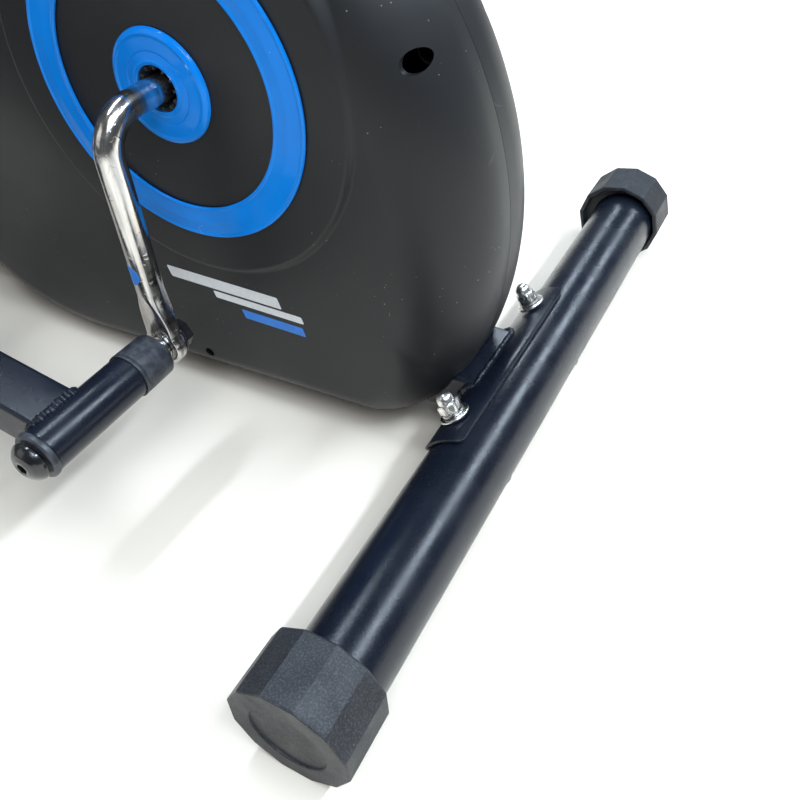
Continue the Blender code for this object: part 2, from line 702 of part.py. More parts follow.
def crank_housing():
    """The shell that holds the crank's bearings, on its upright inside the casing."""
    shell = ring("crank_housing", SHELL_OUTER, SHELL_INNER, *SHELL_SPAN, BLACK_PAINT,
                 location=(HUB_X, 0, HUB_Z), rotation=sideways("left"), steps=20)
    low, high = UPRIGHT_SPAN
    top = HUB_Z - UPRIGHT_DROP
    inside = UPRIGHT_HALF - UPRIGHT_WALL
    upright = box("crank_upright", (HUB_X - UPRIGHT_HALF, low, KEEL_TOP + GAP),
                  (HUB_X + UPRIGHT_HALF, high, top))
    cut(upright, box("upright_hollow", (HUB_X - inside, low + UPRIGHT_WALL, KEEL_TOP - PAST),
                     (HUB_X + inside, high - UPRIGHT_WALL, top - UPRIGHT_ROOF)))
    join(shell, upright)
    for side, span in BEARING_SPANS.items():
        ring("crank_bearing_" + side, BEARING_RADIUS, CRANK_ROD + GAP, *span, ZINC,
             location=(HUB_X, 0, HUB_Z), rotation=sideways(side), steps=20)
    return shell


def post_stub():
    """The upright stub, welded on the keel's top, that the front post slides into."""
    foot = post_point(KEEL_TOP - STUB_SINK)
    top = post_point(STUB_TOP)
    piece = rod("post_stub", foot, top, STUB_RADIUS, BLACK_PAINT, segments=20)
    bore = rod("post_stub_bore", post_point(KEEL_TOP - STUB_SINK - POST_PAST),
               post_point(STUB_TOP + POST_PAST), POST_RADIUS + 2 * GAP, segments=20)
    floor = box("post_stub_floor", (POST_FOOT_X - THROUGH, -THROUGH, -POST_PAST),
                (POST_FOOT_X + THROUGH, THROUGH, KEEL_TOP + GAP))
    return cut(piece, bore, floor)


def front_post():
    """The leaning post, with the cross tube that the swing arms' axle runs in."""
    piece = rod("front_post", post_point(POST_BOTTOM), post_point(POST_TOP), POST_RADIUS,
                BLACK_PAINT, segments=20)
    hollow = rod("front_post_hollow", post_point(POST_BOTTOM - POST_PAST),
                 post_point(POST_TOP + POST_PAST), POST_RADIUS - POST_WALL, segments=20)
    cross = rod("cross_tube", (SWING_X, -CROSS_HALF, SWING_Z), (SWING_X, CROSS_HALF, SWING_Z),
                CROSS_RADIUS, segments=20)
    bore = rod("cross_bore", (SWING_X, -CROSS_HALF - THROUGH, SWING_Z),
               (SWING_X, CROSS_HALF + THROUGH, SWING_Z), AXLE_RADIUS + GAP, segments=20)
    cut(piece, hollow)
    join(piece, cross)
    return cut(piece, bore)


# ---- Casing ----------------------------------------------------------------------------------
def casing_outline():
    """The casing's side outline as (x, z, edge rounding), anticlockwise from the front corner."""
    centre = Vector(COVER_CENTRE)
    along = Vector((math.cos(COVER_BOTTOM_SLOPE), -math.sin(COVER_BOTTOM_SLOPE)))
    up = Vector((-along.y, along.x))
    foot = Vector((centre.x, COVER_BOTTOM))
    height = (centre - foot).dot(up)

    def corner(radius, direction):
        offset = math.sqrt((COVER_RADIUS - radius) ** 2 - (height - radius) ** 2)
        base = foot + along * ((centre - foot).dot(along) + direction * offset)
        middle = base + up * radius
        reach = middle - centre
        return middle, math.atan2(reach.y, reach.x)

    front, front_turn = corner(COVER_FRONT_CORNER, 1)
    rear, rear_turn = corner(COVER_REAR_CORNER, -1)
    down = -math.pi / 2 - COVER_BOTTOM_SLOPE
    soft, hard = COVER_SOFT_EDGE, COVER_HARD_EDGE
    front_steps, back_steps, rear_steps = COVER_STEPS
    outline = []
    for step, point in enumerate(arc(front, COVER_FRONT_CORNER, down, front_turn, front_steps)):
        outline.append((*point, hard + (soft - hard) * step / front_steps))
    rear_turn += math.tau
    back = arc(centre, COVER_RADIUS, front_turn, rear_turn, back_steps)
    outline += [(*point, soft) for point in back[1:]]
    for step, point in enumerate(arc(rear, COVER_REAR_CORNER, rear_turn, down + math.tau, rear_steps)):
        if step:
            outline.append((*point, soft + (hard - soft) * step / rear_steps))
    return outline


def cover_skin(side):
    """The outer surface of one half of the casing, from the seam to the flat side."""
    sign = SIDES[side]
    outline = casing_outline()
    count = len(outline)
    shape = bmesh.new()
    rows = []
    seam = GAP / 2
    for level in range(COVER_EDGE_STEPS + 2):
        turn = 0.0 if level == 0 else (level - 1) / COVER_EDGE_STEPS * math.pi / 2
        row = []
        for index, (x, z, edge) in enumerate(outline):
            before = Vector(outline[index - 1][:2])
            after = Vector(outline[(index + 1) % count][:2])
            run = (after - before).normalized()
            inward = Vector((-run.y, run.x))
            inset = edge * (1 - math.cos(turn))
            depth = seam if level == 0 else COVER_HALF - edge + edge * math.sin(turn)
            point = Vector((x, z)) + inward * inset
            row.append(shape.verts.new((REAR_X + point.x, sign * depth, point.y)))
        rows.append(row)
    for low, high in zip(rows, rows[1:]):
        for index in range(count):
            after = (index + 1) % count
            shape.faces.new((low[index], low[after], high[after], high[index]))
    face = shape.faces.new(rows[-1])
    bmesh.ops.recalc_face_normals(shape, faces=shape.faces)
    face.normal_update()
    if face.normal.y * sign < 0:
        bmesh.ops.reverse_faces(shape, faces=shape.faces)
    return finish_bmesh(shape, side + "_cover", COVER_PLASTIC)


def cover(side):
    """One half of the casing: a thin shell with its round disc, the crank's hole and the keel's tunnel."""
    sign = SIDES[side]
    piece = cover_skin(side)
    solidify = piece.modifiers.new("wall", "SOLIDIFY")
    solidify.thickness = COVER_WALL
    solidify.offset = -1.0
    disc = turned(side + "_disc", DISC_RIM, location=(HUB_X, 0, HUB_Z), rotation=sideways(side),
                  steps=30, closed=False)
    join(piece, disc)
    low, high = CRANK_HOLE_SPAN
    hole = rod(side + "_crank_hole", (HUB_X, sign * low, HUB_Z), (HUB_X, sign * high, HUB_Z),
               CRANK_HOLE, segments=22, spin=CRANK_HOLE_SPIN)
    half = KEEL_WIDTH / 2 + GAP
    tunnel = box(side + "_keel_tunnel", (REAR_X - THROUGH, -half, KEEL_TOP - KEEL_HEIGHT - GAP),
                 (REAR_X + TUNNEL_LENGTH, half, KEEL_TOP + GAP))
    return cut(piece, hole, tunnel)


def trims(side):
    """The blue ring and hub disc on one side of the casing."""
    face = DISC_FACE + GAP
    middle = (RING_INNER + RING_OUTER) / 2
    edge, top = face + RING_EDGE_HEIGHT, face + RING_HEIGHT
    profile = [(middle + RING_FLAT, top), (RING_OUTER - TRIM_EDGE, edge), (RING_OUTER, face),
               (RING_INNER, face), (RING_INNER + TRIM_EDGE, edge), (middle - RING_FLAT, top)]
    turned("blue_ring_" + side, profile, BLUE_GLOSS, (HUB_X, 0, HUB_Z), sideways(side), steps=30)
    edge, top = face + HUB_DISC_EDGE_HEIGHT, face + HUB_DISC_HEIGHT
    profile = [(HUB_DISC_RADIUS - HUB_DISC_FLAT, top), (HUB_DISC_RADIUS - TRIM_EDGE, edge),
               (HUB_DISC_RADIUS, face), (HUB_DISC_BORE, face), (HUB_DISC_BORE, top)]
    turned("hub_disc_" + side, profile, BLUE_GLOSS, (HUB_X, 0, HUB_Z), sideways(side), steps=20)


# ---- Drive inside the casing -----------------------------------------------------------------
def crank():
    """The one-piece crank: a bent rod with an eye flattened at each end."""
    corners = [EYE["left"] + Vector((0, CRANK_PLANE, 0)),
               Vector((HUB_X, CRANK_PLANE, HUB_Z)),
               Vector((HUB_X, -CRANK_PLANE, HUB_Z)),
               EYE["right"] + Vector((0, -CRANK_PLANE, 0))]
    axis = Vector((HUB_X, 0, HUB_Z))
    path = [point - axis for point in rounded_path(corners, CRANK_BEND, steps=3)]
    piece = as_mesh(bent_rod("crank", path, CRANK_ROD, CHROME, axis))
    for side, sign in SIDES.items():
        middle = EYE[side] + Vector((0, sign * CRANK_PLANE, 0))
        thick = Vector((0, EYE_HALF, 0))
        eye = rod("crank_eye_" + side, middle - thick, middle + thick, EYE_RADIUS, segments=16)
        hole = rod("crank_eye_hole_" + side, middle - 4 * thick, middle + 4 * thick,
                   BOLT_RADIUS + GAP, segments=12)
        flat = EYE_HALF - GAP
        long, tall = EYE_TRIM
        trim = box("crank_eye_trim_" + side, (-long, flat, -tall), (long, long, tall), origin=middle)
        trim_in = box("crank_eye_trim_in_" + side, (-long, -long, -tall), (long, -flat, tall),
                      origin=middle)
        cut(piece, trim, trim_in)
        join(piece, eye)
        cut(piece, hole)
    return piece


def crank_fixings(side):
    """The dome-headed bolt through the bushes and the crank's eye, with its nut tightened on."""
    sign = SIDES[side]
    place_at = EYE[side]
    nut_start = CRANK_PLANE - EYE_HALF - GAP - CRANK_NUT_HEIGHT
    tip = nut_start - CRANK_BOLT_TIP
    shoulder, drop = HEAD_SHOULDER
    profile = [(0.0, HEAD_END), (HEAD_FLAT, HEAD_END), (shoulder, HEAD_END - drop),
               (HEAD_RADIUS, HEAD_START + HEAD_RIM), (HEAD_RADIUS, HEAD_START),
               (BOLT_RADIUS, HEAD_START), (BOLT_RADIUS, tip), (0.0, tip)]
    bolt = turned("crank_bolt_" + side, profile, BLACK_STEEL, place_at, sideways(side), steps=14,
                  closed=False)
    socket = rod("bolt_socket_" + side,
                 place_at + Vector((0, sign * (HEAD_END - HEAD_SOCKET_DEPTH), 0)),
                 place_at + Vector((0, sign * (HEAD_END + PAST), 0)), HEAD_SOCKET, segments=6)
    cut(bolt, socket)
    low = place_at + Vector((0, sign * nut_start, 0))
    high = place_at + Vector((0, sign * (nut_start + CRANK_NUT_HEIGHT), 0))
    return join(bolt, rod("crank_nut_" + side, low, high, CRANK_NUT_RADIUS, segments=6))


def drive_pulley():
    """The large belt pulley on the crank, with a thin web."""
    low, high = PULLEY_LOW, PULLEY_HIGH
    middle = (low + high) / 2
    web_low, web_high = middle - PULLEY_WEB_HALF, middle + PULLEY_WEB_HALF
    bore, hub, rim, edge = CRANK_ROD + GAP, PULLEY_HUB, PULLEY_RADIUS - PULLEY_RIM, PULLEY_RADIUS
    profile = [(edge, high), (edge, low), (rim, low), (rim, web_low), (hub, web_low), (hub, low),
               (bore, low), (bore, high), (hub, high), (hub, web_high), (rim, web_high), (rim, high)]
    return turned("drive_pulley", profile, CAP_PLASTIC, (HUB_X, 0, HUB_Z), sideways("left"), steps=22)


def flywheel():
    """The flywheel with its small belt pulley, on its fixed axle between two brackets."""
    bore, hub, edge = FLYWHEEL_BORE, FLYWHEEL_HUB, FLYWHEEL_RADIUS
    rim = edge - FLYWHEEL_RIM
    low, high = FLYWHEEL_LOW, 0.0
    web_low, web_high = low + FLYWHEEL_WEB, high - FLYWHEEL_WEB
    foot = low - FLYWHEEL_HUB_PROUD
    profile = [(SMALL_PULLEY, PULLEY_HIGH), (SMALL_PULLEY, PULLEY_LOW), (hub, PULLEY_LOW),
               (hub, web_high), (rim, web_high), (rim, high), (edge, high), (edge, low), (rim, low),
               (rim, web_low), (hub, web_low), (hub, foot), (bore, foot), (bore, PULLEY_HIGH)]
    axis = Vector((FLYWHEEL_X, 0, FLYWHEEL_Z))
    turned("flywheel", profile, IRON, axis, sideways("left"), steps=22)
    start, end = FLYWHEEL_AXLE_SPAN
    rod("flywheel_axle", axis + Vector((0, start, 0)), axis + Vector((0, end, 0)), FLYWHEEL_AXLE, ZINC,
        segments=16)


def flywheel_fork():
    """The two brackets that hold the flywheel's axle, and the magnet bracket's pin, on one base."""
    axis = Vector((FLYWHEEL_X, 0, FLYWHEEL_Z))
    floor = KEEL_TOP + GAP - FLYWHEEL_Z
    thick = FORK_THICKNESS
    piece = box("flywheel_fork", (-FORK_HALF, FORK_INNER, floor),
                (FORK_BASE_FRONT, FORK_OUTER + thick, floor + thick), BLACK_PAINT, origin=axis)
    for side, flange in (("left", FORK_OUTER), ("right", FORK_INNER)):
        join(piece, box("fork_" + side, (-FORK_HALF, flange, floor),
                        (FORK_HALF, flange + thick, FORK_TOP), origin=axis))
    pivot = magnet_pivot() - axis
    near, far = (MAGNET_MIDDLE + reach for reach in STAND_SPAN)
    stand = box("magnet_stand", (pivot.x - STAND_HALF, near, floor),
                (pivot.x + STAND_HALF, far, pivot.z + STAND_HALF), origin=axis)
    start, end = (Vector((0, MAGNET_MIDDLE + reach, 0)) for reach in MAGNET_PIN_SPAN)
    pin = rod("magnet_pin", magnet_pivot() + start, magnet_pivot() + end, MAGNET_PIN, segments=12)
    through = Vector((0, THROUGH, 0))
    hole = rod("fork_axle_hole", axis - through, axis + through, FLYWHEEL_BORE, segments=16)
    join(piece, stand, pin)
    return cut(piece, hole)


def belt_loop(first, first_radius, second, second_radius, steps=10):
    """The outline of a belt around two pulleys."""
    first, second = Vector(first), Vector(second)
    between = second - first
    angle = math.atan2(between.y, between.x)
    lean = math.acos((first_radius - second_radius) / between.length)
    large = arc(first, first_radius, angle + lean, angle + math.tau - lean, steps * 2)
    small = arc(second, second_radius, angle - lean, angle + lean, steps)
    return large + small


def belt():
    """The belt between the two pulleys; the outline's Y is up once it is turned into place."""
    hub = (0, 0)
    wheel = (FLYWHEEL_X - HUB_X, FLYWHEEL_Z - HUB_Z)
    inner = belt_loop(hub, PULLEY_RADIUS + BELT_GAP, wheel, SMALL_PULLEY + BELT_GAP)
    thick = BELT_GAP + BELT_THICKNESS
    outer = belt_loop(hub, PULLEY_RADIUS + thick, wheel, SMALL_PULLEY + thick)
    middle = (PULLEY_LOW + PULLEY_HIGH) / 2
    half = (PULLEY_HIGH - PULLEY_LOW) / 2 - BELT_INSET
    return as_mesh(outline_plate("drive_belt", [outer, inner], half, RUBBER,
                                 (HUB_X, middle, HUB_Z), UPRIGHT))


def magnet_pivot():
    """The point on the middle plane where the magnet bracket's pin lies."""
    reach = MAGNET_ARC_RADIUS + MAGNET_EYE_OUT
    return Vector((FLYWHEEL_X + reach * math.cos(MAGNET_ARC_START), 0,
                   FLYWHEEL_Z + reach * math.sin(MAGNET_ARC_START)))


def magnet_bracket():
    """The curved bracket that swings the brake's magnets towards and away from the flywheel."""
    pivot = magnet_pivot()
    inner, outer = MAGNET_ARC_RADIUS, MAGNET_ARC_RADIUS + MAGNET_THICKNESS
    section = arc((0, 0), outer, MAGNET_ARC_START, MAGNET_ARC_END, MAGNET_STEPS)
    section += arc((0, 0), inner, MAGNET_ARC_END, MAGNET_ARC_START, MAGNET_STEPS)
    shifted = [(x + FLYWHEEL_X - pivot.x, z + FLYWHEEL_Z - pivot.z) for x, z in section]
    centre = pivot + Vector((0, MAGNET_MIDDLE, 0))
    piece = as_mesh(outline_plate("magnet_bracket", [shifted], MAGNET_HALF, BLACK_PAINT, centre,
                                  UPRIGHT))
    across = Vector((0, MAGNET_HALF, 0))
    join(piece, rod("magnet_eye", centre - across, centre + across, MAGNET_EYE, segments=12))
    return cut(piece, rod("magnet_eye_bore", centre - 3 * across, centre + 3 * across,
                          MAGNET_EYE_BORE, segments=12))


# ---- Pedal bars ------------------------------------------------------------------------------
def bar_angles(side):
    """Slopes of the bar's two stretches, and the front one's length."""
    line = linkage(side) - EYE[side]
    rear = math.atan2(line.z, line.x) - BAR_REAR_DIP
    bend = Vector((math.cos(rear), 0, math.sin(rear))) * BAR_REAR_LENGTH
    rest = line - bend
    return rear, math.atan2(rest.z, rest.x), rest.length


def local_turn(angle):
    """Rotation about Y that raises local +X by an angle."""
    return (0, -angle, 0)


def pedal_bar(side):
    """Crank sleeve, bent square tube and front end, welded into one piece."""
    sign = SIDES[side]
    eye = EYE[side]
    rear, front, reach = bar_angles(side)
    name = "pedal_bar_" + side
    sleeve = ring(name, SLEEVE_RADIUS, SLEEVE_BORE, SLEEVE_START, SLEEVE_END, BLACK_PAINT,
                  location=eye, rotation=sideways(side), steps=18)
    low = sign * BAR_PLANE - BAR_WIDTH / 2
    high = sign * BAR_PLANE + BAR_WIDTH / 2
    top = BAR_HEIGHT / 2 - BAR_DROP
    bottom = top - BAR_HEIGHT
    wall = BAR_WALL
    bend = eye + Vector((math.cos(rear), 0, math.sin(rear))) * BAR_REAR_LENGTH
    pivot = linkage(side)
    mitre = (rear + front) / 2
    near, far = BAR_MITRE_HALF, BAR_MITRE_TOOL
    rear_tube = box(name + "_rear", (0, low, bottom), (BAR_REAR_LENGTH + BAR_OVERLAP, high, top),
                    rotation=local_turn(rear), origin=eye)
    front_tube = box(name + "_front", (-BAR_OVERLAP, low, bottom), (reach, high, top),
                     rotation=local_turn(front), origin=bend)
    beyond = box(name + "_beyond", (near, low - PAST, -far), (far, high + PAST, far),
                 rotation=local_turn(mitre), origin=bend)
    before = box(name + "_before", (-far, low - PAST, -far), (-near, high + PAST, far),
                 rotation=local_turn(mitre), origin=bend)
    cut(rear_tube, beyond)
    cut(front_tube, before)
    eye_end = rod(name + "_end", pivot + Vector((0, low, -BAR_DROP)), pivot + Vector((0, high, -BAR_DROP)),
                  BAR_HEIGHT / 2, segments=16)
    start, end = (eye + Vector((0, sign * reach_out, 0)) for reach_out in BAR_BORE_SPAN)
    bore = rod(name + "_bore", start, end, SLEEVE_BORE, segments=18)
    across = Vector((0, ACROSS, 0))
    pivot_bore = rod(name + "_pivot_bore", pivot - across, pivot + across, LINK_HOLE, segments=12)
    join(sleeve, rear_tube, front_tube, eye_end)
    cut(sleeve, bore)
    hollow = box(name + "_hollow", (BAR_HOLLOW_END, low + wall, bottom + wall),
                 (reach - BAR_HOLLOW_END, high - wall, top - wall), rotation=local_turn(front), origin=bend)
    vent = rod(name + "_vent", (0, 0, 0), (0, 0, -VENT_DEPTH), VENT_RADIUS, segments=8)
    vent.location = bend + Vector((VENT_FORWARD * math.cos(front), sign * BAR_PLANE,
                                   VENT_FORWARD * math.sin(front)))
    return cut(sleeve, hollow, vent, pivot_bore)


def bushes(side):
    """The plastic collar on the crank's side of the sleeve and the flanged bush outside."""
    place_at = EYE[side]
    bore = BOLT_RADIUS + GAP
    spigot = SLEEVE_BORE - GAP
    socket = SLEEVE_RADIUS + GAP
    step = SLEEVE_START - GAP
    spigot_end = COLLAR_END + COLLAR_STEP
    profile = [(COLLAR_RADIUS, COLLAR_END), (COLLAR_RADIUS, COLLAR_START), (bore, COLLAR_START),
               (bore, spigot_end), (spigot, spigot_end), (spigot, step),
               (socket, step), (socket, COLLAR_END)]
    turned("bush_collar_" + side, profile, CAP_PLASTIC, place_at, sideways(side), steps=18)
    inward, back = FLANGE_ROUND
    inner_end = SLEEVE_END - FLANGE_SPIGOT
    profile = [(COLLAR_RADIUS - inward, FLANGE_END), (COLLAR_RADIUS, FLANGE_END - back),
               (COLLAR_RADIUS, SLEEVE_END + GAP), (spigot, SLEEVE_END + GAP), (spigot, inner_end),
               (bore, inner_end), (bore, FLANGE_END)]
    turned("flange_bush_" + side, profile, CAP_PLASTIC, place_at, sideways(side), steps=18)


def foot_plate(side):
    """The long foot plate on the pedal bar, with a shallow pocket for its tread."""
    sign = SIDES[side]
    rear, front = bar_angles(side)[:2]
    bend = EYE[side] + Vector((math.cos(rear), 0, math.sin(rear))) * BAR_REAR_LENGTH
    inner = sign * PLATE_INNER
    outer = sign * (PLATE_INNER + PLATE_WIDTH)
    low_y, high_y = min(inner, outer), max(inner, outer)
    start = PLATE_START - BAR_REAR_LENGTH
    base = BAR_HEIGHT / 2 - BAR_DROP + GAP
    outline = rounded_rectangle((start, low_y), (start + PLATE_LENGTH, high_y), PLATE_CORNER)
    piece = as_mesh(outline_plate("foot_plate_" + side, [outline], PLATE_HEIGHT / 2, CAP_PLASTIC))
    pocket_outline = rounded_rectangle((start + PLATE_RIM, low_y + PLATE_RIM),
                                       (start + PLATE_LENGTH - PLATE_RIM, high_y - PLATE_RIM),
                                       PLATE_CORNER - PLATE_RIM)
    pocket = as_mesh(outline_plate("foot_pocket_" + side, [pocket_outline], PLATE_POCKET))
    middle = base + PLATE_HEIGHT / 2
    turn = Matrix.Rotation(-front, 4, "Y")
    piece.matrix_world = Matrix.Translation(bend) @ turn @ Matrix.Translation((0, 0, middle))
    pocket.matrix_world = Matrix.Translation(bend) @ turn @ Matrix.Translation((0, 0, base + PLATE_HEIGHT))
    return cut(piece, pocket)


def link_bolt(side):
    """The bolt through the bar's front end; it stops just short of the swing arm."""
    face = BAR_PLANE + BAR_WIDTH / 2 + GAP
    inner_face = BAR_PLANE - BAR_WIDTH / 2 - GAP
    tip = SWING_PLANE + SWING_TUBE + LINK_SHORT
    profile = [(radius, face + height) for radius, height in LINK_HEAD]
    profile += [(LINK_SHANK, inner_face), (LINK_SPACER, inner_face), (LINK_SPACER, tip), (0.0, tip)]
    return turned("link_bolt_" + side, profile, BLACK_STEEL, linkage(side), sideways(side), steps=14,
                  closed=False)


# ---- Swing arms ------------------------------------------------------------------------------
def swing_arm(side):
    """Hub and lower tube of a swing arm, with the flattened eye at its foot."""
    sign = SIDES[side]
    top = Vector((SWING_X, 0, SWING_Z))
    foot = linkage(side)
    plane = Vector((0, sign * SWING_PLANE, 0))
    hub_low, hub_high = SWING_PLANE - SWING_HUB_HALF, SWING_PLANE + SWING_HUB_HALF
    piece = turned("swing_arm_" + side, [(0, hub_high), (SWING_HUB, hub_high), (SWING_HUB, hub_low),
                                         (0, hub_low)],
                   BLACK_PAINT, top, sideways(side), steps=16, closed=False)
    tube = rod("swing_tube_" + side, foot + plane, top + plane, SWING_TUBE, segments=14)
    half = Vector((0, SWING_TUBE + SWING_EYE_PROUD, 0))
    eye = rod("swing_eye_" + side, foot + plane - half, foot + plane + half, SWING_EYE, segments=16)
    line = (top - foot).normalized()
    hollow = rod("swing_hollow_" + side, foot + plane + line * SWING_HOLLOW_END,
                 top + plane - line * SWING_HOLLOW_END, SWING_TUBE - SWING_WALL, segments=12)
    vent_at = foot + plane + line * SWING_VENT
    vent = rod("swing_vent_" + side, vent_at, vent_at - Vector((0, sign * VENT_DEPTH, 0)), VENT_RADIUS,
               segments=8)
    across = Vector((0, ACROSS, 0))
    bore = rod("swing_bore_" + side, top - across, top + across, AXLE_RADIUS + GAP, segments=14)
    foot_bore = rod("swing_foot_bore_" + side, foot - across, foot + across, LINK_HOLE, segments=12)
    join(piece, tube, eye)
    return cut(piece, hollow, vent, bore, foot_bore)


def handle_path(side):
    """Centre line of a moving handle, from just above its hub to its top end."""
    sign = SIDES[side]
    points = rounded_path(HANDLE_CORNERS, HANDLE_BEND, steps=3)
    return [Vector((point.x, sign * point.y, point.z)) for point in points]


def grip_profile(radius, length, rounding, steps):
    """Outer side, open foot and blind bore of a foam grip over a tube."""
    outer = radius + GRIP_THICKNESS
    inner = clear_of(radius, steps)
    top, plug = length + GRIP_END, length - GRIP_PLUG
    return [(0, top), (outer - rounding, top), (outer, length - GRIP_END_EDGE), (outer, 0.0),
            (inner, 0.0), (inner, plug), (0, plug)]


def moving_handle(side):
    """The bent upper handle, standing on its hub, and its foam grip."""
    top = Vector((SWING_X, 0, SWING_Z))
    path = handle_path(side)
    bent_rod("swing_handle_" + side, path, HANDLE_RADIUS, BLACK_PAINT, top, wall=HANDLE_WALL, sides=2)
    end = path[-1]
    line = (end - path[-2]).normalized()
    profile = grip_profile(HANDLE_RADIUS, HANDLE_GRIP_LENGTH, HANDLE_GRIP_ROUND, 16)
    start = end - line * (HANDLE_GRIP_LENGTH - GRIP_END)
    turn = line.to_track_quat("Z", "Y").to_euler()
    return turned("handle_grip_" + side, profile, FOAM, top + start, turn, steps=16, closed=False)


def swing_axle():
    """The steel axle through the cross tube, with a headed cap tightened on each end."""
    face = AXLE_HALF + GAP
    head = [(radius, face + height) for radius, height in AXLE_CAP] + [(AXLE_RADIUS, face)]
    profile = head + [(radius, -height) for radius, height in reversed(head)]
    return turned("swing_axle", profile, ZINC, (SWING_X, 0, SWING_Z), sideways("left"), steps=14,
                  closed=False)


# ---- Handlebar, console and knob -------------------------------------------------------------
def fixed_handlebar():
    """The fixed U-shaped bar behind the post, its clamp and its two foam grips."""
    back = POST_RADIUS + BAR_FIXED_RADIUS + BAR_FIXED_STANDOFF
    middle = post_point(BAR_FIXED_Z) - Vector((back, 0, 0))
    right_half = [(x, -y, z) for x, y, z in reversed(BAR_FIXED_HALF)]
    path = rounded_path([*right_half, *BAR_FIXED_HALF], BAR_FIXED_BEND, steps=3)
    bent_rod("fixed_handlebar", path, BAR_FIXED_RADIUS, BLACK_PAINT, middle, wall=BAR_FIXED_WALL,
             sides=2)
    clamp = box("handlebar_clamp", CLAMP_LOW, CLAMP_HIGH, BLACK_PAINT, origin=middle)
    through = Vector((0, THROUGH, 0))
    cut(clamp, rod("clamp_bar_bore", middle - through, middle + through,
                   clear_of(BAR_FIXED_RADIUS, 24), segments=24),
        rod("clamp_post_bore", post_point(BAR_FIXED_Z - THROUGH), post_point(BAR_FIXED_Z + THROUGH),
            POST_RADIUS + 2 * GAP, segments=20))
    profile = grip_profile(BAR_FIXED_RADIUS, FIXED_GRIP_LENGTH, FIXED_GRIP_ROUND, 14)
    for side, end, before in (("left", path[-1], path[-2]), ("right", path[0], path[1])):
        line = (end - before).normalized()
        start = middle + end - line * (FIXED_GRIP_LENGTH - GRIP_END)
        turned("fixed_grip_" + side, profile, FOAM, start, line.to_track_quat("Z", "Y").to_euler(),
               steps=14, closed=False)


def console():
    """The tilted computer on the post's top: body, screen window and one press button."""
    origin = post_point(POST_TOP) + Vector(CONSOLE_OFFSET)
    tilt = (0, -CONSOLE_TILT, 0)
    half_x, half_y, height = CONSOLE_SIZE[0] / 2, CONSOLE_SIZE[1] / 2, CONSOLE_SIZE[2]
    outline = rounded_rectangle((-half_x, -half_y), (half_x, half_y), CONSOLE_CORNER)
    turn = Matrix.Translation(origin) @ Matrix.Rotation(-CONSOLE_TILT, 4, "Y")
    body = as_mesh(outline_plate("console_body", [outline], height / 2, COVER_PLASTIC))
    body.matrix_world = turn @ Matrix.Translation((0, 0, -height / 2))
    neck = rod("console_neck", post_point(POST_TOP + GAP), post_point(POST_TOP + CONSOLE_NECK_LENGTH),
               CONSOLE_NECK, segments=24)
    join(body, neck)
    low, high = Vector(SCREEN_LOW), Vector(SCREEN_HIGH)
    room = Vector((GAP, GAP, 0))
    window = box("console_window_cut", low, (high.x, high.y, CONSOLE_CUT), rotation=tilt,
                 origin=origin)
    well = rod("console_button_well", (0, 0, -BUTTON_WELL_DEPTH), (0, 0, CONSOLE_CUT), BUTTON_WELL,
               segments=24)
    well.matrix_world = turn @ Matrix.Translation((BUTTON_AT, 0, -BUTTON_WELL_DEPTH))
    cut(body, window, well)
    box("console_screen", low + room + Vector((0, 0, GAP)), high - room, SCREEN, rotation=tilt,
        origin=origin)
    button = turned("console_button", BUTTON_PROFILE, BUTTON, steps=24, closed=False)
    button.matrix_world = turn @ Matrix.Translation((BUTTON_AT, 0, 0))
    return body


def tension_knob():
    """The resistance knob on the user's side of the post, below the handlebar."""
    axis = -Vector((math.cos(POST_LEAN), 0, math.sin(POST_LEAN)))
    face = post_point(KNOB_Z) + axis * (POST_RADIUS - KNOB_SINK)
    turn = axis.to_track_quat("Z", "Y").to_euler()
    return turned("tension_knob", KNOB_PROFILE, CAP_PLASTIC, face, turn, steps=24, closed=False)


# ---- Build -----------------------------------------------------------------------------------
keel()
for end_name, end_x, facing in (("rear", REAR_X, 1), ("front", FRONT_X, -1)):
    saddle(end_name + "_saddle", end_x, facing)
    stabiliser(end_name + "_stabiliser", end_x, facing)
    for side_name, side_sign in SIDES.items():
        stabiliser_bolt(f"{end_name}_bolt_{side_name}", end_x, facing, side_sign)
rear_caps()
front_caps()
crank_housing()
post_stub()
front_post()
for side_name in SIDES:
    cover(side_name)
    trims(side_name)
    crank_fixings(side_name)
    pedal_bar(side_name)
    bushes(side_name)
    foot_plate(side_name)
    link_bolt(side_name)
    swing_arm(side_name)
    moving_handle(side_name)
crank()
drive_pulley()
flywheel()
belt()
flywheel_fork()
magnet_bracket()
swing_axle()
fixed_handlebar()
console()
tension_knob()
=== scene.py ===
"""The looks of the rear-drive elliptical cross trainer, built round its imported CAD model.

Metres, +X forwards, +Y to the user's left, +Z up, as in the CAD frame.
"""
import json
import math

import bmesh
import bpy
from mathutils import Matrix, Vector, noise


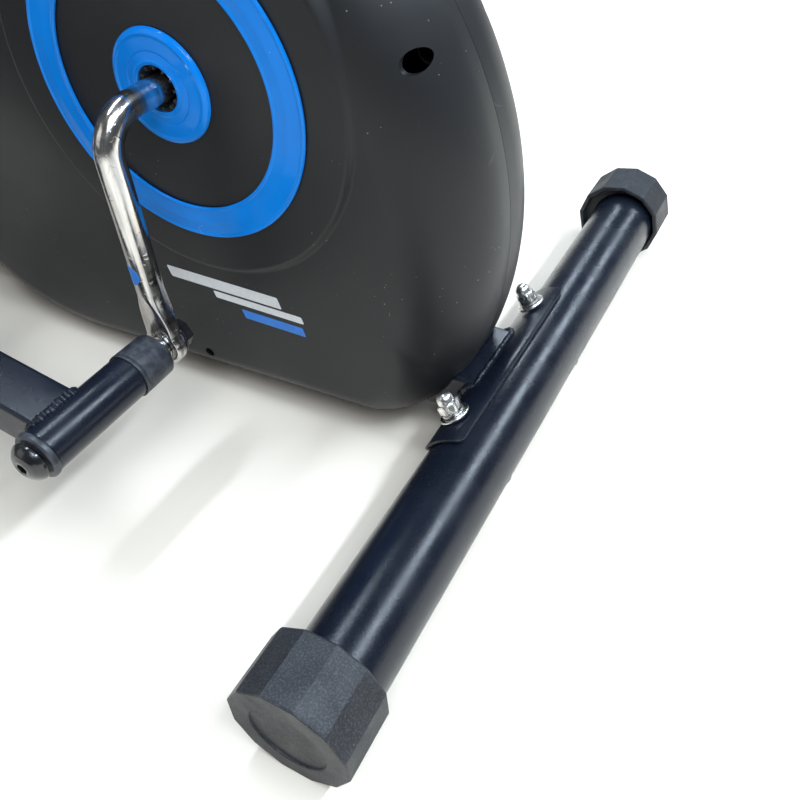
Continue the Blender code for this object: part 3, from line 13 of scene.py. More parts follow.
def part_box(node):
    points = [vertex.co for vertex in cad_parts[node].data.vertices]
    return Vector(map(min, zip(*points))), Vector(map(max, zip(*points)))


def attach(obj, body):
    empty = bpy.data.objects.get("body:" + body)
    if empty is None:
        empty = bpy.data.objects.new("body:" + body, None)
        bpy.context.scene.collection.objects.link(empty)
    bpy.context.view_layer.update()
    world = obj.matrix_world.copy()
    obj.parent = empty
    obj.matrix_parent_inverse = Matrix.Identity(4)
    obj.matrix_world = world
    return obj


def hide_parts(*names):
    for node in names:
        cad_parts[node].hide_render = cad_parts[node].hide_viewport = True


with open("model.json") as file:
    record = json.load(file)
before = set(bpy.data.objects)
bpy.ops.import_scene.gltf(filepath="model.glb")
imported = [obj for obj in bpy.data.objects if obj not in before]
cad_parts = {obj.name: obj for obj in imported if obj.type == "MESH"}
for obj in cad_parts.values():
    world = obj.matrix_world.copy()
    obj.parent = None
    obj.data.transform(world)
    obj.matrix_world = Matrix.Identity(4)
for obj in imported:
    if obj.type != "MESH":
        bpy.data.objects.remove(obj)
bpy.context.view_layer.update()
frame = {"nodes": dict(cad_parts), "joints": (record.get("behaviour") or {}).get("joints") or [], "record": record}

JOINTS = {joint["name"]: joint for joint in frame["joints"]}
BODY = {node: body for body, nodes in frame["record"]["behaviour"]["bodies"].items() for node in nodes}
SIDES = {"left": 1, "right": -1}
X, Y, Z = Vector((1, 0, 0)), Vector((0, 1, 0)), Vector((0, 0, 1))
GAP = 0.0003                    # clearance between pieces that touch
TINY = 0.00001                  # the radius that closes a turned shape at its axis
SHARP = 32.0                    # degrees; edges bent by more stay sharp
SMALL, MEDIUM, LARGE = 48, 72, 96     # facets round a turned shape
RIM = 0.0002                    # easing of a helper's edges, where they show least
noise.seed_set(1)               # without it the weld beads wander differently in every run


def on_axis(node):
    """The middle of a CAD node's box, moved onto the machine's middle plane."""
    low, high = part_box(node)
    return Vector(((low.x + high.x) / 2, 0, (low.z + high.z) / 2))


# ---- Places, read from the frame -------------------------------------------------------------
HUB = Vector(JOINTS["crank_spin"]["pos_m"])
EYE = {side: Vector(JOINTS["pedal_turn_" + side]["pos_m"]) for side in SIDES}
SWING = Vector((JOINTS["arm_swing_left"]["pos_m"][0], 0, JOINTS["arm_swing_left"]["pos_m"][2]))
REAR = on_axis("rear_stabiliser")
FRONT = on_axis("front_stabiliser")
LINK = {side: on_axis("link_bolt_" + side) for side in SIDES}
WHEEL = on_axis("transport_wheel_left")
KEEL_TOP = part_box("keel_tube")[1].z
DISC_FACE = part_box("left_cover")[1].y


# ---- Node materials --------------------------------------------------------------------------
class Look:
    """A material with its shader, and short ways to add texture nodes to it."""

    def __init__(self, name, slot, colour, roughness, metallic=0.0, **sockets):
        self.slot = slot
        self.material = bpy.data.materials.new(name)
        self.material.use_nodes = True
        self.tree = self.material.node_tree
        self.shader = self.tree.nodes["Principled BSDF"]
        self.set(self.shader, "Base Color", (*colour, 1.0))
        self.set(self.shader, "Roughness", roughness)
        self.set(self.shader, "Metallic", metallic)
        for socket, value in sockets.items():
            self.set(self.shader, socket.replace("_", " "), value)
        self.place = self.tree.nodes.new("ShaderNodeTexCoord").outputs["Object"]
        self.height = None

    def set(self, node, socket, value):
        """Give a socket a value, or link it to another node's output."""
        if isinstance(value, bpy.types.NodeSocket):
            self.tree.links.new(value, node.inputs[socket])
        else:
            node.inputs[socket].default_value = value

    def add(self, kind, output, **values):
        """Add a node with its settings and inputs, and return one of its outputs."""
        node = self.tree.nodes.new("ShaderNode" + kind)
        for name, value in values.items():
            if hasattr(node, name):
                setattr(node, name, value)
            else:
                self.set(node, name.replace("_", " "), value)
        return node.outputs[output]

    def stretched(self, x, y, z):
        """Object coordinates, scaled along each axis."""
        return self.add("Mapping", "Vector", Vector=self.place, Scale=(x, y, z))

    def noise(self, scale, detail=2.0, rough=0.5, place=None):
        """Smooth noise from 0 to 1."""
        place = place or self.place
        return self.add("TexNoise", "Fac", Vector=place, Scale=scale, Detail=detail, Roughness=rough)

    def cells(self, scale, feature="F1", place=None):
        """The distance to the nearest of many scattered points, or to a cell's edge."""
        return self.add("TexVoronoi", "Distance", Vector=place or self.place, feature=feature, Scale=scale)

    def cloud(self, scale, detail, start=0.35, end=0.65, rough=0.5, place=None):
        """Soft patches from 0 to 1; the nearer start and end, the harder their borders."""
        return self.spread(self.noise(scale, detail, rough, place), 0.0, 1.0, start, end)

    def spread(self, source, low, high, start=0.0, end=1.0):
        """Map a range of the source to another range, clamped."""
        return self.add("MapRange", "Result", Value=source, From_Min=start, From_Max=end,
                        To_Min=low, To_Max=high)

    def blend(self, amount, first, second):
        """Mix two colours, each given as numbers or as an output."""
        node = self.tree.nodes.new("ShaderNodeMix")
        node.data_type = "RGBA"
        self.tree.links.new(amount, node.inputs["Factor"])
        for socket, value in ((6, first), (7, second)):
            if isinstance(value, bpy.types.NodeSocket):
                self.tree.links.new(value, node.inputs[socket])
            else:
                node.inputs[socket].default_value = (*value, 1.0)
        return node.outputs[2]

    def both(self, first, second, operation="MULTIPLY"):
        """Combine two values by a sum or a product."""
        node = self.tree.nodes.new("ShaderNodeMath")
        node.operation = operation
        for index, value in enumerate((first, second)):
            self.set(node, index, value)
        return node.outputs[0]

    def colour(self, source):
        """Use a source as the base colour."""
        self.set(self.shader, "Base Color", source)
        return self

    def rough(self, source):
        """Use a source as the roughness."""
        self.set(self.shader, "Roughness", source)
        return self

    def uneven(self, scale, detail, low, high, start=0.3, end=0.7, rough=0.5):
        """A roughness that wanders between two values."""
        return self.rough(self.spread(self.noise(scale, detail, rough), low, high, start, end))

    def bump(self, source, strength, depth):
        """Raise the surface by a source, on top of any bump before."""
        node = self.tree.nodes.new("ShaderNodeBump")
        node.inputs["Strength"].default_value = strength
        node.inputs["Distance"].default_value = depth
        self.tree.links.new(source, node.inputs["Height"])
        if self.height is not None:
            self.tree.links.new(self.height, node.inputs["Normal"])
        self.height = node.outputs["Normal"]
        self.set(self.shader, "Normal", self.height)
        return self

    def specks(self, scale, size, seed_shift=0.0):
        """1 on scattered small dots, such as dust, and 0 elsewhere."""
        moved = self.add("Mapping", "Vector", Vector=self.place, Location=(seed_shift,) * 3)
        dots = self.spread(self.cells(scale, place=moved), 1.0, 0.0, size * 0.6, size)
        patchy = self.spread(self.noise(scale * 0.11, place=moved), 0.0, 1.0, 0.50, 0.62)
        return self.both(dots, patchy)

    def scratches(self, scale, width, cover=0.60):
        """1 on thin broken lines, and 0 elsewhere."""
        wobble = self.add("TexNoise", "Color", Vector=self.place, Scale=scale * 0.7)
        push = self.add("VectorMath", "Vector", operation="SCALE", Scale=0.8 / scale)
        self.set(push.node, 0, wobble)
        bent = self.add("VectorMath", "Vector", operation="ADD")
        self.set(bent.node, 0, self.place)
        self.set(bent.node, 1, push)
        lines = self.spread(self.cells(scale, "DISTANCE_TO_EDGE", place=bent), 1.0, 0.0, 0.0, width)
        broken = self.spread(self.noise(scale * 1.7), 0.0, 1.0, cover, cover + 0.04)
        return self.both(lines, broken)


def powder_coat(name="powder_coat", gloss=0.25):
    """Black semi-gloss powder coat: fine orange peel, dust, and faint painted glints: pale bluish flecks in the
    colour stand for sparkling highlights.
    """
    look = Look(name, "black_paint", (0.005, 0.007, 0.012), gloss, Specular_IOR_Level=0.40)
    base = look.blend(look.cloud(9.0, 3.0), (0.0030, 0.0050, 0.0105), (0.0060, 0.0085, 0.0160))
    # painted glints: fine pale bluish flecks blended into the base colour stand for sparkling highlights
    painted_glints = look.spread(look.noise(2600.0, 1.0), 0.0, 0.35, 0.66, 0.76)
    base = look.blend(painted_glints, base, (0.10, 0.12, 0.16))
    dust = look.both(look.specks(95.0, 0.035), 0.5)
    look.colour(look.blend(dust, base, (0.30, 0.30, 0.31)))
    look.uneven(38.0, 4.0, gloss - 0.05, gloss + 0.09)
    return look.bump(look.noise(1700.0, 2.0, 0.6), 0.24, 0.00030)


def casing_plastic():
    """Charcoal moulded plastic: fine grain, cloudy sheen, dust and light scratches."""
    look = Look("casing_plastic", "cover_plastic", (0.010, 0.010, 0.011), 0.42, Specular_IOR_Level=0.34)
    cloud = look.cloud(5.0, 4.0)
    base = look.blend(cloud, (0.0085, 0.0088, 0.0098), (0.0125, 0.0128, 0.0142))
    dust = look.both(look.both(look.specks(70.0, 0.042), look.specks(160.0, 0.070, 3.7), "ADD"), 0.60)
    base = look.blend(dust, base, (0.32, 0.32, 0.33))
    marks = look.both(look.scratches(16.0, 0.004, 0.68), 0.12)
    look.colour(look.blend(marks, base, (0.26, 0.27, 0.29)))
    look.uneven(14.0, 5.0, 0.36, 0.50)
    return look.bump(look.noise(1500.0, 2.0, 0.6), 0.10, 0.0003)


def cap_plastic():
    """Matte dark moulded plastic with pale wear along its edges."""
    look = Look("cap_plastic", "cap_plastic", (0.016, 0.017, 0.019), 0.45, Specular_IOR_Level=0.34)
    cloud = look.cloud(24.0, 4.0)
    base = look.blend(cloud, (0.0080, 0.0084, 0.0098), (0.0160, 0.0168, 0.0195))
    grain = look.both(look.cloud(1000.0, 2.0, 0.45, 0.75), 0.8)
    base = look.blend(grain, base, (0.050, 0.056, 0.070))
    edge = look.add("NewGeometry", "Pointiness")
    worn = look.both(look.spread(edge, 0.0, 1.0, 0.530, 0.60), look.cloud(210.0, 4.0, 0.42, 0.60))
    base = look.blend(look.both(worn, 0.35), base, (0.16, 0.165, 0.17))
    dust = look.both(look.specks(120.0, 0.045), 0.4)
    look.colour(look.blend(dust, base, (0.3, 0.3, 0.3)))
    look.uneven(60.0, 4.0, 0.42, 0.60)
    return look.bump(look.noise(1600.0, 3.0, 0.6), 0.30, 0.0003)


def bush_plastic():
    """Smooth dark plastic of the pedal bushes, rubbed grey in places."""
    look = Look("bush_plastic", "cap_plastic", (0.030, 0.032, 0.038), 0.36)
    rubbed = look.cloud(180.0, 5.0, 0.40, 0.70, 0.6)
    look.colour(look.blend(rubbed, (0.018, 0.020, 0.026), (0.060, 0.066, 0.078)))
    look.uneven(120.0, 4.0, 0.30, 0.50)
    return look.bump(look.noise(900.0, 3.0), 0.15, 0.0003)


def blue_gloss():
    """Glossy vivid blue plastic with faint dust and hairline scratches."""
    look = Look("blue_gloss", "blue_gloss", (0.003, 0.17, 0.62), 0.20, Specular_IOR_Level=0.20)
    cloud = look.cloud(22.0, 3.0, 0.3, 0.7)
    base = look.blend(cloud, (0.0025, 0.190, 0.670), (0.0040, 0.230, 0.780))
    marks = look.both(look.both(look.specks(140.0, 0.05), look.scratches(40.0, 0.008, 0.66), "ADD"), 0.35)
    look.colour(look.blend(marks, base, (0.45, 0.65, 0.95)))
    look.uneven(70.0, 4.0, 0.10, 0.26)
    return look.bump(look.noise(260.0, 2.0), 0.05, 0.0004)


def chrome():
    """Bright chrome plate with handling marks, pits and fine bumps along the rod, and painted reflection streaks:
    dark and bright bands along the rod in the colour stand for mirrored surroundings.
    """
    look = Look("chrome_plate", "chrome", (0.56, 0.55, 0.53), 0.09, 1.0)
    # painted reflection streaks: long bands from dark to bright grey in the colour, stretched along the rod, stand
    # for mirrored surroundings
    painted_reflection_streaks = look.cloud(260.0, 4.0, 0.36, 0.62, 0.6, look.stretched(1.0, 1.0, 0.045))
    base = look.blend(painted_reflection_streaks, (0.36, 0.36, 0.37), (0.78, 0.76, 0.735))
    tarnish = look.spread(look.noise(34.0, 4.0, 0.6), 0.0, 0.55, 0.50, 0.68)
    base = look.blend(tarnish, base, (0.42, 0.35, 0.26))
    pits = look.both(look.specks(150.0, 0.06), look.scratches(60.0, 0.012, 0.60), "ADD")
    look.colour(look.blend(look.both(pits, 0.8), base, (0.06, 0.055, 0.05)))
    look.uneven(90.0, 5.0, 0.12, 0.28, 0.35, 0.75, 0.65)
    look.bump(look.noise(240.0, 3.0, place=look.stretched(1.0, 1.0, 0.06)), 0.10, 0.0004)
    return look.bump(look.scratches(120.0, 0.03, 0.56), 0.25, 0.0002)


def zinc():
    """Zinc-plated steel fixings."""
    look = Look("zinc_plate", "zinc", (0.60, 0.59, 0.57), 0.18, 1.0)
    look.colour(look.blend(look.cloud(160.0, 4.0), (0.66, 0.655, 0.64), (0.88, 0.87, 0.85)))
    look.uneven(260.0, 2.0, 0.24, 0.30)
    return look.bump(look.noise(600.0, 2.0), 0.015, 0.0001)


def black_steel():
    """Glossy black fixings."""
    look = Look("black_fixing", "black_steel", (0.010, 0.010, 0.012), 0.16,
                Coat_Weight=0.4, Coat_Roughness=0.06)
    cloud = look.cloud(120.0, 4.0)
    base = look.blend(cloud, (0.007, 0.007, 0.008), (0.018, 0.018, 0.020))
    look.colour(look.blend(look.both(look.specks(400.0, 0.07), 0.4), base, (0.3, 0.3, 0.3)))
    look.uneven(240.0, 3.0, 0.12, 0.28)
    return look.bump(look.noise(500.0, 3.0), 0.10, 0.0003)


def foam():
    """Closed-cell foam of the grips: small pores and a dull sheen."""
    look = Look("grip_foam", "foam", (0.018, 0.018, 0.020), 0.92, Sheen_Weight=0.35, Sheen_Roughness=0.5)
    pores = look.spread(look.cells(900.0), 0, 1, 0.05, 0.55)
    look.colour(look.blend(pores, (0.007, 0.007, 0.008), (0.026, 0.026, 0.029)))
    look.uneven(200.0, 3.0, 0.84, 0.98)
    look.bump(pores, 0.55, 0.0005)
    return look.bump(look.noise(45.0, 3.0), 0.25, 0.0010)


def tread_plastic():
    """Moulded foot-plate plastic with a pebbled grain and grey scuffs."""
    look = Look("tread_plastic", "cap_plastic", (0.026, 0.027, 0.030), 0.6)
    scuffs = look.both(look.scratches(26.0, 0.03, 0.54), 0.4)
    base = look.blend(look.cloud(18.0, 5.0), (0.018, 0.019, 0.021), (0.036, 0.037, 0.040))
    look.colour(look.blend(scuffs, base, (0.12, 0.12, 0.125)))
    look.uneven(45.0, 4.0, 0.5, 0.72)
    return look.bump(look.spread(look.cells(700.0, "SMOOTH_F1"), 0, 1, 0.0, 0.6), 0.35, 0.0004)


def cast_iron():
    """Turned grey iron of the flywheel with a fine grain and rust bloom."""
    look = Look("cast_iron", "cast_iron", (0.14, 0.135, 0.13), 0.5, 0.85)
    bloom = look.spread(look.noise(40.0, 5.0, 0.6), 0, 0.6, 0.52, 0.72)
    base = look.blend(look.noise(500.0, 3.0), (0.10, 0.10, 0.10), (0.19, 0.185, 0.18))
    look.colour(look.blend(bloom, base, (0.12, 0.07, 0.04)))
    look.uneven(150.0, 4.0, 0.38, 0.62)
    return look.bump(look.noise(800.0, 4.0), 0.3, 0.0004)


def two_tone(name, slot, base, patches, low, high, gloss, grain, metallic=0.0, **sockets):
    """A look of two close shades in soft patches, with an uneven gloss and a fine bump."""
    roughness, uneven = gloss
    look = Look(name, slot, base, roughness, metallic, **sockets)
    look.colour(look.blend(look.noise(*patches), low, high))
    look.uneven(*uneven)
    scale, detail, strength, depth = grain
    return look.bump(look.noise(scale, detail), strength, depth)


def rubber():
    """Black rubber with a fine moulded grain."""
    return two_tone("belt_rubber", "rubber", (0.014, 0.014, 0.015), (90.0, 4.0), (0.010, 0.010, 0.011),
                    (0.024, 0.024, 0.025), (0.7, (300.0, 3.0, 0.6, 0.85)), (1200.0, 3.0, 0.25, 0.0003))


def screen():
    """The console's grey-green display window under a clear gloss."""
    return two_tone("display_window", "screen", (0.30, 0.37, 0.31), (30.0, 3.0), (0.24, 0.31, 0.26),
                    (0.34, 0.41, 0.35), (0.12, (200.0, 3.0, 0.10, 0.20)), (120.0, 2.0, 0.03, 0.0004),
                    Coat_Weight=1.0, Coat_Roughness=0.04)


def button_plastic():
    """Red satin plastic of the press button."""
    return two_tone("button_plastic", "button", (0.60, 0.03, 0.02), (260.0, 4.0), (0.48, 0.020, 0.014),
                    (0.66, 0.040, 0.026), (0.32, (300.0, 3.0, 0.26, 0.42)), (1500.0, 3.0, 0.12, 0.0002),
                    Coat_Weight=0.2)


def print_paint(name, low, high, slot):
    """Flat printed paint for the generic stripes on the casing."""
    return two_tone(name, slot, high, (300.0, 4.0), low, high, (0.4, (500.0, 3.0, 0.34, 0.5)),
                    (1500.0, 2.0, 0.08, 0.0002))


LOOKS = {
    "paint": powder_coat(), "weld": powder_coat("weld_paint", 0.32), "casing": casing_plastic(),
    "cap": cap_plastic(), "bush": bush_plastic(), "blue": blue_gloss(), "chrome": chrome(),
    "zinc": zinc(), "black": black_steel(), "foam": foam(), "rubber": rubber(),
    "tread": tread_plastic(), "iron": cast_iron(), "screen": screen(), "button": button_plastic(),
    "white": print_paint("white_print", (0.62, 0.63, 0.64), (0.78, 0.79, 0.80), "cover_plastic"),
    "azure": print_paint("blue_print", (0.010, 0.15, 0.55), (0.016, 0.22, 0.75), "blue_gloss"),
}


# ---- Mesh building ---------------------------------------------------------------------------
class Shape:
    """Vertices and faces of one piece, gathered from turned, swept and extruded bodies."""

    def __init__(self):
        self.vertices = []
        self.faces = []

    def skin(self, loops, closed=False):
        """Faces between neighbouring loops of points; a closed skin also joins the last to the first."""
        start, count = len(self.vertices), len(loops[0])
        for loop in loops:
            self.vertices += loop
        pairs = [(row, row + 1) for row in range(len(loops) - 1)]
        if closed:
            pairs.append((len(loops) - 1, 0))
        for low, high in pairs:
            for index in range(count):
                after = (index + 1) % count
                self.faces.append((start + low * count + index, start + low * count + after,
                                   start + high * count + after, start + high * count + index))
        return self

    def loops(self, loops, closed=False):
        """A skin over loops of points, whose two ends are closed by flat faces unless it is closed."""
        start, count = len(self.vertices), len(loops[0])
        self.skin(loops, closed)
        if not closed:
            self.faces.append(tuple(start + index for index in reversed(range(count))))
            last = start + (len(loops) - 1) * count
            self.faces.append(tuple(last + index for index in range(count)))
        return self

    def turn(self, profile, origin, axis, steps=LARGE, closed=False, flats=None, start=None):
        """Turn (radius, height) points about an axis.

        A third number makes a point's ring many-sided; flats clips every ring to a hexagon.
        """
        axis = Vector(axis).normalized()
        across = Vector(start) if start else (Y if abs(axis.y) < 0.9 else X)
        across = (across - axis * across.dot(axis)).normalized()
        other = axis.cross(across)
        loops = []
        for radius, height, *form in profile:
            sides = form[0] if form else 6
            half = math.pi / sides
            loop = []
            for step in range(steps):
                angle = math.tau * step / steps
                reach = radius
                apothem = radius * math.cos(half) if form else flats
                if apothem:
                    reach = min(radius, apothem / math.cos(angle % (2 * half) - half))
                point = across * math.cos(angle) * reach + other * math.sin(angle) * reach
                loop.append(Vector(origin) + point + axis * height)
            loops.append(loop)
        return self.loops(loops, closed)

    def ring(self, profile, ease, origin, axis, steps=LARGE):
        """Turn a closed, eased profile, so that the shape has a bore."""
        return self.turn(eased(profile, ease, True), origin, axis, steps, closed=True)

    def sweep(self, path, section, up=Z, scales=None):
        """Carry a section of (side, up) points along a path; scales shrink it at each point."""
        loops = []
        for index, point in enumerate(path):
            ahead = path[min(index + 1, len(path) - 1)] - path[max(index - 1, 0)]
            ahead = ahead.normalized()
            side = up.cross(ahead)
            side = side.normalized() if side.length > 1e-4 else X
            above = ahead.cross(side)
            scale = scales[index] if scales else (1.0, 1.0)
            loops.append([point + side * (u * scale[0]) + above * (v * scale[1]) for u, v in section])
        return self.loops(loops)

    def block(self, low, high, fillet, place=None, steps=4):
        """A box between two corners with rounded edges all round."""
        low, high = Vector(low), Vector(high)
        outline = rounded_outline(low.x, low.y, high.x, high.y, fillet, steps)
        centre = (low + high) / 2
        levels = []
        for step in range(steps + 1):
            turn = math.pi / 2 * step / steps
            levels.append((fillet * (1 - math.sin(turn)), low.z + fillet * (1 - math.cos(turn))))
        levels += [(inset, low.z + high.z - height) for inset, height in reversed(levels)]
        half = (high - low) / 2
        loops = []
        for inset, height in levels:
            scale_x = (half.x - inset) / half.x
            scale_y = (half.y - inset) / half.y
            loop = []
            for x, y in outline:
                point = Vector((centre.x + (x - centre.x) * scale_x,
                                centre.y + (y - centre.y) * scale_y, height))
                loop.append(place @ point if place else point)
            loops.append(loop)
        return self.loops(loops)

    def mesh(self, name):
        """A mesh of this shape with its faces turned outwards."""
        mesh = bpy.data.meshes.new(name)
        mesh.from_pydata([tuple(vertex) for vertex in self.vertices], [], self.faces)
        shape = bmesh.new()
        shape.from_mesh(mesh)
        bmesh.ops.recalc_face_normals(shape, faces=shape.faces)
        shape.to_mesh(mesh)
        shape.free()
        return mesh


def arc(centre, radius, start, end, steps):
    """Points of an arc in a plane, both ends included."""
    turns = [start + (end - start) * step / steps for step in range(steps + 1)]
    return [(centre[0] + radius * math.cos(turn), centre[1] + radius * math.sin(turn)) for turn in turns]


def circle(radius, steps):
    """A closed circle of points round the origin."""
    return arc((0, 0), radius, 0, math.tau * (1 - 1 / steps), steps - 1)


def rounded_outline(x0, y0, x1, y1, radius, steps=6):
    """A rectangle with round corners, as (x, y) points, anticlockwise."""
    quarter = math.pi / 2
    corners = [(x1 - radius, y1 - radius), (x0 + radius, y1 - radius),
               (x0 + radius, y0 + radius), (x1 - radius, y0 + radius)]
    points = []
    for index, corner in enumerate(corners):
        points += arc(corner, radius, index * quarter, (index + 1) * quarter, steps)
    return points


def eased(points, fillet, closed=False, steps=4):
    """Round the corners of a profile of (radius, height) points."""
    points = [Vector((point[0], point[1], 0)) for point in points]
    count = len(points)
    result = []
    for index, point in enumerate(points):
        if not closed and index in (0, count - 1):
            result.append((point.x, point.y))
            continue
        before = points[index - 1] - point
        after = points[(index + 1) % count] - point
        reach = min(fillet, before.length * 0.48, after.length * 0.48)
        first, last = point + before.normalized() * reach, point + after.normalized() * reach
        for step in range(steps + 1):
            t = step / steps
            spot = first.lerp(point, t).lerp(point.lerp(last, t), t)
            result.append((spot.x, spot.y))
    return result


def rounded_path(corners, radius, steps=16):
    """A line of points through corners, with each inner corner turned into an arc."""
    corners = [Vector(corner) for corner in corners]
    path = [corners[0]]
    for before, corner, after in zip(corners, corners[1:], corners[2:]):
        back, ahead = (before - corner).normalized(), (after - corner).normalized()
        half = back.angle(ahead) / 2
        centre = corner + (back + ahead).normalized() * (radius / math.sin(half))
        first = corner + back * (radius / math.tan(half)) - centre
        last = corner + ahead * (radius / math.tan(half)) - centre
        turn = first.angle(last)
        for step in range(steps + 1):
            path.append(centre + Matrix.Rotation(turn * step / steps, 3, first.cross(last)) @ first)
    path.append(corners[-1])
    return path


def split(path, spacing):
    """The same line with extra points, so that none lie further apart than the spacing."""
    result = [path[0]]
    for start, end in zip(path, path[1:]):
        count = max(1, math.ceil((end - start).length / spacing))
        result += [start.lerp(end, step / count) for step in range(1, count + 1)]
    return result


def rod(shape, start, end, radius, fillet=0.0008, steps=64):
    """A round bar with eased ends."""
    start, end = Vector(start), Vector(end)
    length = (end - start).length
    profile = eased([(0, 0), (radius, 0), (radius, length), (0, length)], fillet)
    profile = [(max(radius_at, TINY), height) for radius_at, height in profile]
    return shape.turn(profile, start, end - start, steps)


def weld_bead(shape, path, size, seed=0.0, pitch=0.0028, sides=14):
    """A lumpy row of overlapping weld drops along a line."""
    path = split([Vector(point) for point in path], pitch / 7)
    run = 0.0
    loops = []
    for index, point in enumerate(path):
        before, after = path[max(index - 1, 0)], path[min(index + 1, len(path) - 1)]
        run += (point - before).length
        ahead = (after - before).normalized()
        side = ahead.cross(Z if abs(ahead.z) < 0.9 else X).normalized()
        above = side.cross(ahead)
        drop = 0.80 + 0.28 * abs(math.sin(math.pi * run / pitch))
        ends = min(1.0, 0.25 + min(index, len(path) - 1 - index) / 10)
        wander = noise.noise_vector(Vector((run * 160 + seed, seed, 0)))
        spot = point + (side * wander.x + above * wander.y) * size * 0.20
        loop = []
        for step in range(sides):
            angle = math.tau * step / sides
            around = Vector((run * 240, 1.2 * math.cos(angle), 1.2 * math.sin(angle) + seed))
            lump = 1 + 0.16 * noise.noise(around)
            reach = size * drop * ends * lump
            loop.append(spot + side * math.cos(angle) * reach + above * math.sin(angle) * reach)
        loops.append(loop)
    return shape.loops(loops)


def weld_ring(shape, point_at, size, seed, steps=40):
    """A bead along a closed curve that is given as a function of the angle."""
    return weld_bead(shape, [point_at(math.tau * step / steps) for step in range(steps + 1)], size, seed)


def piece(name, shape, look, body, nodes=(), crease=SHARP):
    """Put a finished shape in the scene, riding on a body, for the CAD nodes that it replaces."""
    mesh = shape.mesh(name) if isinstance(shape, Shape) else shape
    look = LOOKS[look]
    mesh.materials.append(look.material)
    mesh.shade_smooth()
    mesh.set_sharp_from_angle(angle=math.radians(crease))
    result = bpy.data.objects.new(name, mesh)
    bpy.context.scene.collection.objects.link(result)
    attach(result, body)
    if nodes:
        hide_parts(*([nodes] if isinstance(nodes, str) else nodes))
    return result


def cut(target, tool_shape):
    """Cut a helper shape out of a piece and keep the result as the piece's own mesh."""
    tool = bpy.data.objects.new("tool", tool_shape.mesh("tool"))
    bpy.context.scene.collection.objects.link(tool)
    boolean = target.modifiers.new("cut", "BOOLEAN")
    boolean.operation = "DIFFERENCE"
    boolean.solver = "EXACT"
    boolean.object = tool
    bpy.context.view_layer.update()
    graph = bpy.context.evaluated_depsgraph_get()
    mesh = bpy.data.meshes.new_from_object(target.evaluated_get(graph))
    target.modifiers.clear()
    target.data = mesh
    mesh.shade_smooth()
    mesh.set_sharp_from_angle(angle=math.radians(SHARP))
    bpy.data.objects.remove(tool, do_unlink=True)
    return target


def out(side):
    """The direction away from the middle plane."""
    return Y * SIDES[side]


# ---- Casing ----------------------------------------------------------------------------------
CASE_CENTRE = Vector((REAR.x + 0.2620, 0, 0.1570))
CASE_RADIUS = 0.2555
CASE_HALF = 0.0575
CASE_BOTTOM = 0.0150
CASE_SLOPE = math.radians(2.9)
CASE_FRONT, CASE_REAR = 0.1700, 0.0600        # corner radii
SOFT_EDGE, HARD_EDGE = 0.0480, 0.0160
CASE_WALL = 0.0025
DISC_RADIUS, DISC_FALL, DISC_DEPTH = 0.1180, 0.0100, 0.0140
SCREW_ACROSS, SCREW_UP, SCREW_RADIUS = 0.2202, 0.1073, 0.0058
OVAL_BACK, OVAL_DOWN, OVAL_RADIUS = 0.0500, 0.1235, 0.0036     # the small hole low in the side
HUB_HOLE = 0.0200


def casing_outline(steps=3):
    """The casing's side outline as (x, z, edge rounding), anticlockwise from the front corner."""
    along = Vector((math.cos(CASE_SLOPE), 0, -math.sin(CASE_SLOPE)))
    up = Vector((-along.z, 0, along.x))
    foot = Vector((CASE_CENTRE.x, 0, CASE_BOTTOM))
    height = (CASE_CENTRE - foot).dot(up)

    def corner(radius, direction):
        offset = math.sqrt((CASE_RADIUS - radius) ** 2 - (height - radius) ** 2)
        middle_point = foot + along * ((CASE_CENTRE - foot).dot(along) + direction * offset) + up * radius
        reach = middle_point - CASE_CENTRE
        return (middle_point.x, middle_point.z), math.atan2(reach.z, reach.x)

    front, front_turn = corner(CASE_FRONT, 1)
    rear, rear_turn = corner(CASE_REAR, -1)
    rear_turn += math.tau
    down = -math.pi / 2 - CASE_SLOPE
    points = []
    count = 14 * steps
    for step, point in enumerate(arc(front, CASE_FRONT, down, front_turn, count)):
        points.append((*point, HARD_EDGE + (SOFT_EDGE - HARD_EDGE) * step / count))
    round_back = arc((CASE_CENTRE.x, CASE_CENTRE.z), CASE_RADIUS, front_turn, rear_turn, 52 * steps)
    points += [(*point, SOFT_EDGE) for point in round_back[1:]]
    count = 9 * steps
    for step, point in enumerate(arc(rear, CASE_REAR, rear_turn, down + math.tau, count)):
        if step:
            points.append((*point, SOFT_EDGE + (HARD_EDGE - SOFT_EDGE) * step / count))
    last, first = points[-1], points[0]
    count = 8 * steps
    for step in range(1, count):
        t = step / count
        points.append((last[0] + (first[0] - last[0]) * t, last[1] + (first[1] - last[1]) * t, HARD_EDGE))
    return points


def disc_height(reach):
    """How far the flat disc round the hub stands out, at a distance from the hub."""
    if reach <= DISC_RADIUS:
        return DISC_FACE
    fall = (reach - DISC_RADIUS) / DISC_FALL
    return DISC_FACE - DISC_DEPTH * fall * fall * (1.6 - 0.6 * fall) if fall < 1 else -1.0


def soft_max(first, second, width=0.0012):
    """The greater of two heights, blended where they nearly agree."""
    if abs(first - second) > width:
        return max(first, second)
    return (first + second) / 2 + (width * width + (first - second) ** 2) / (4 * width)


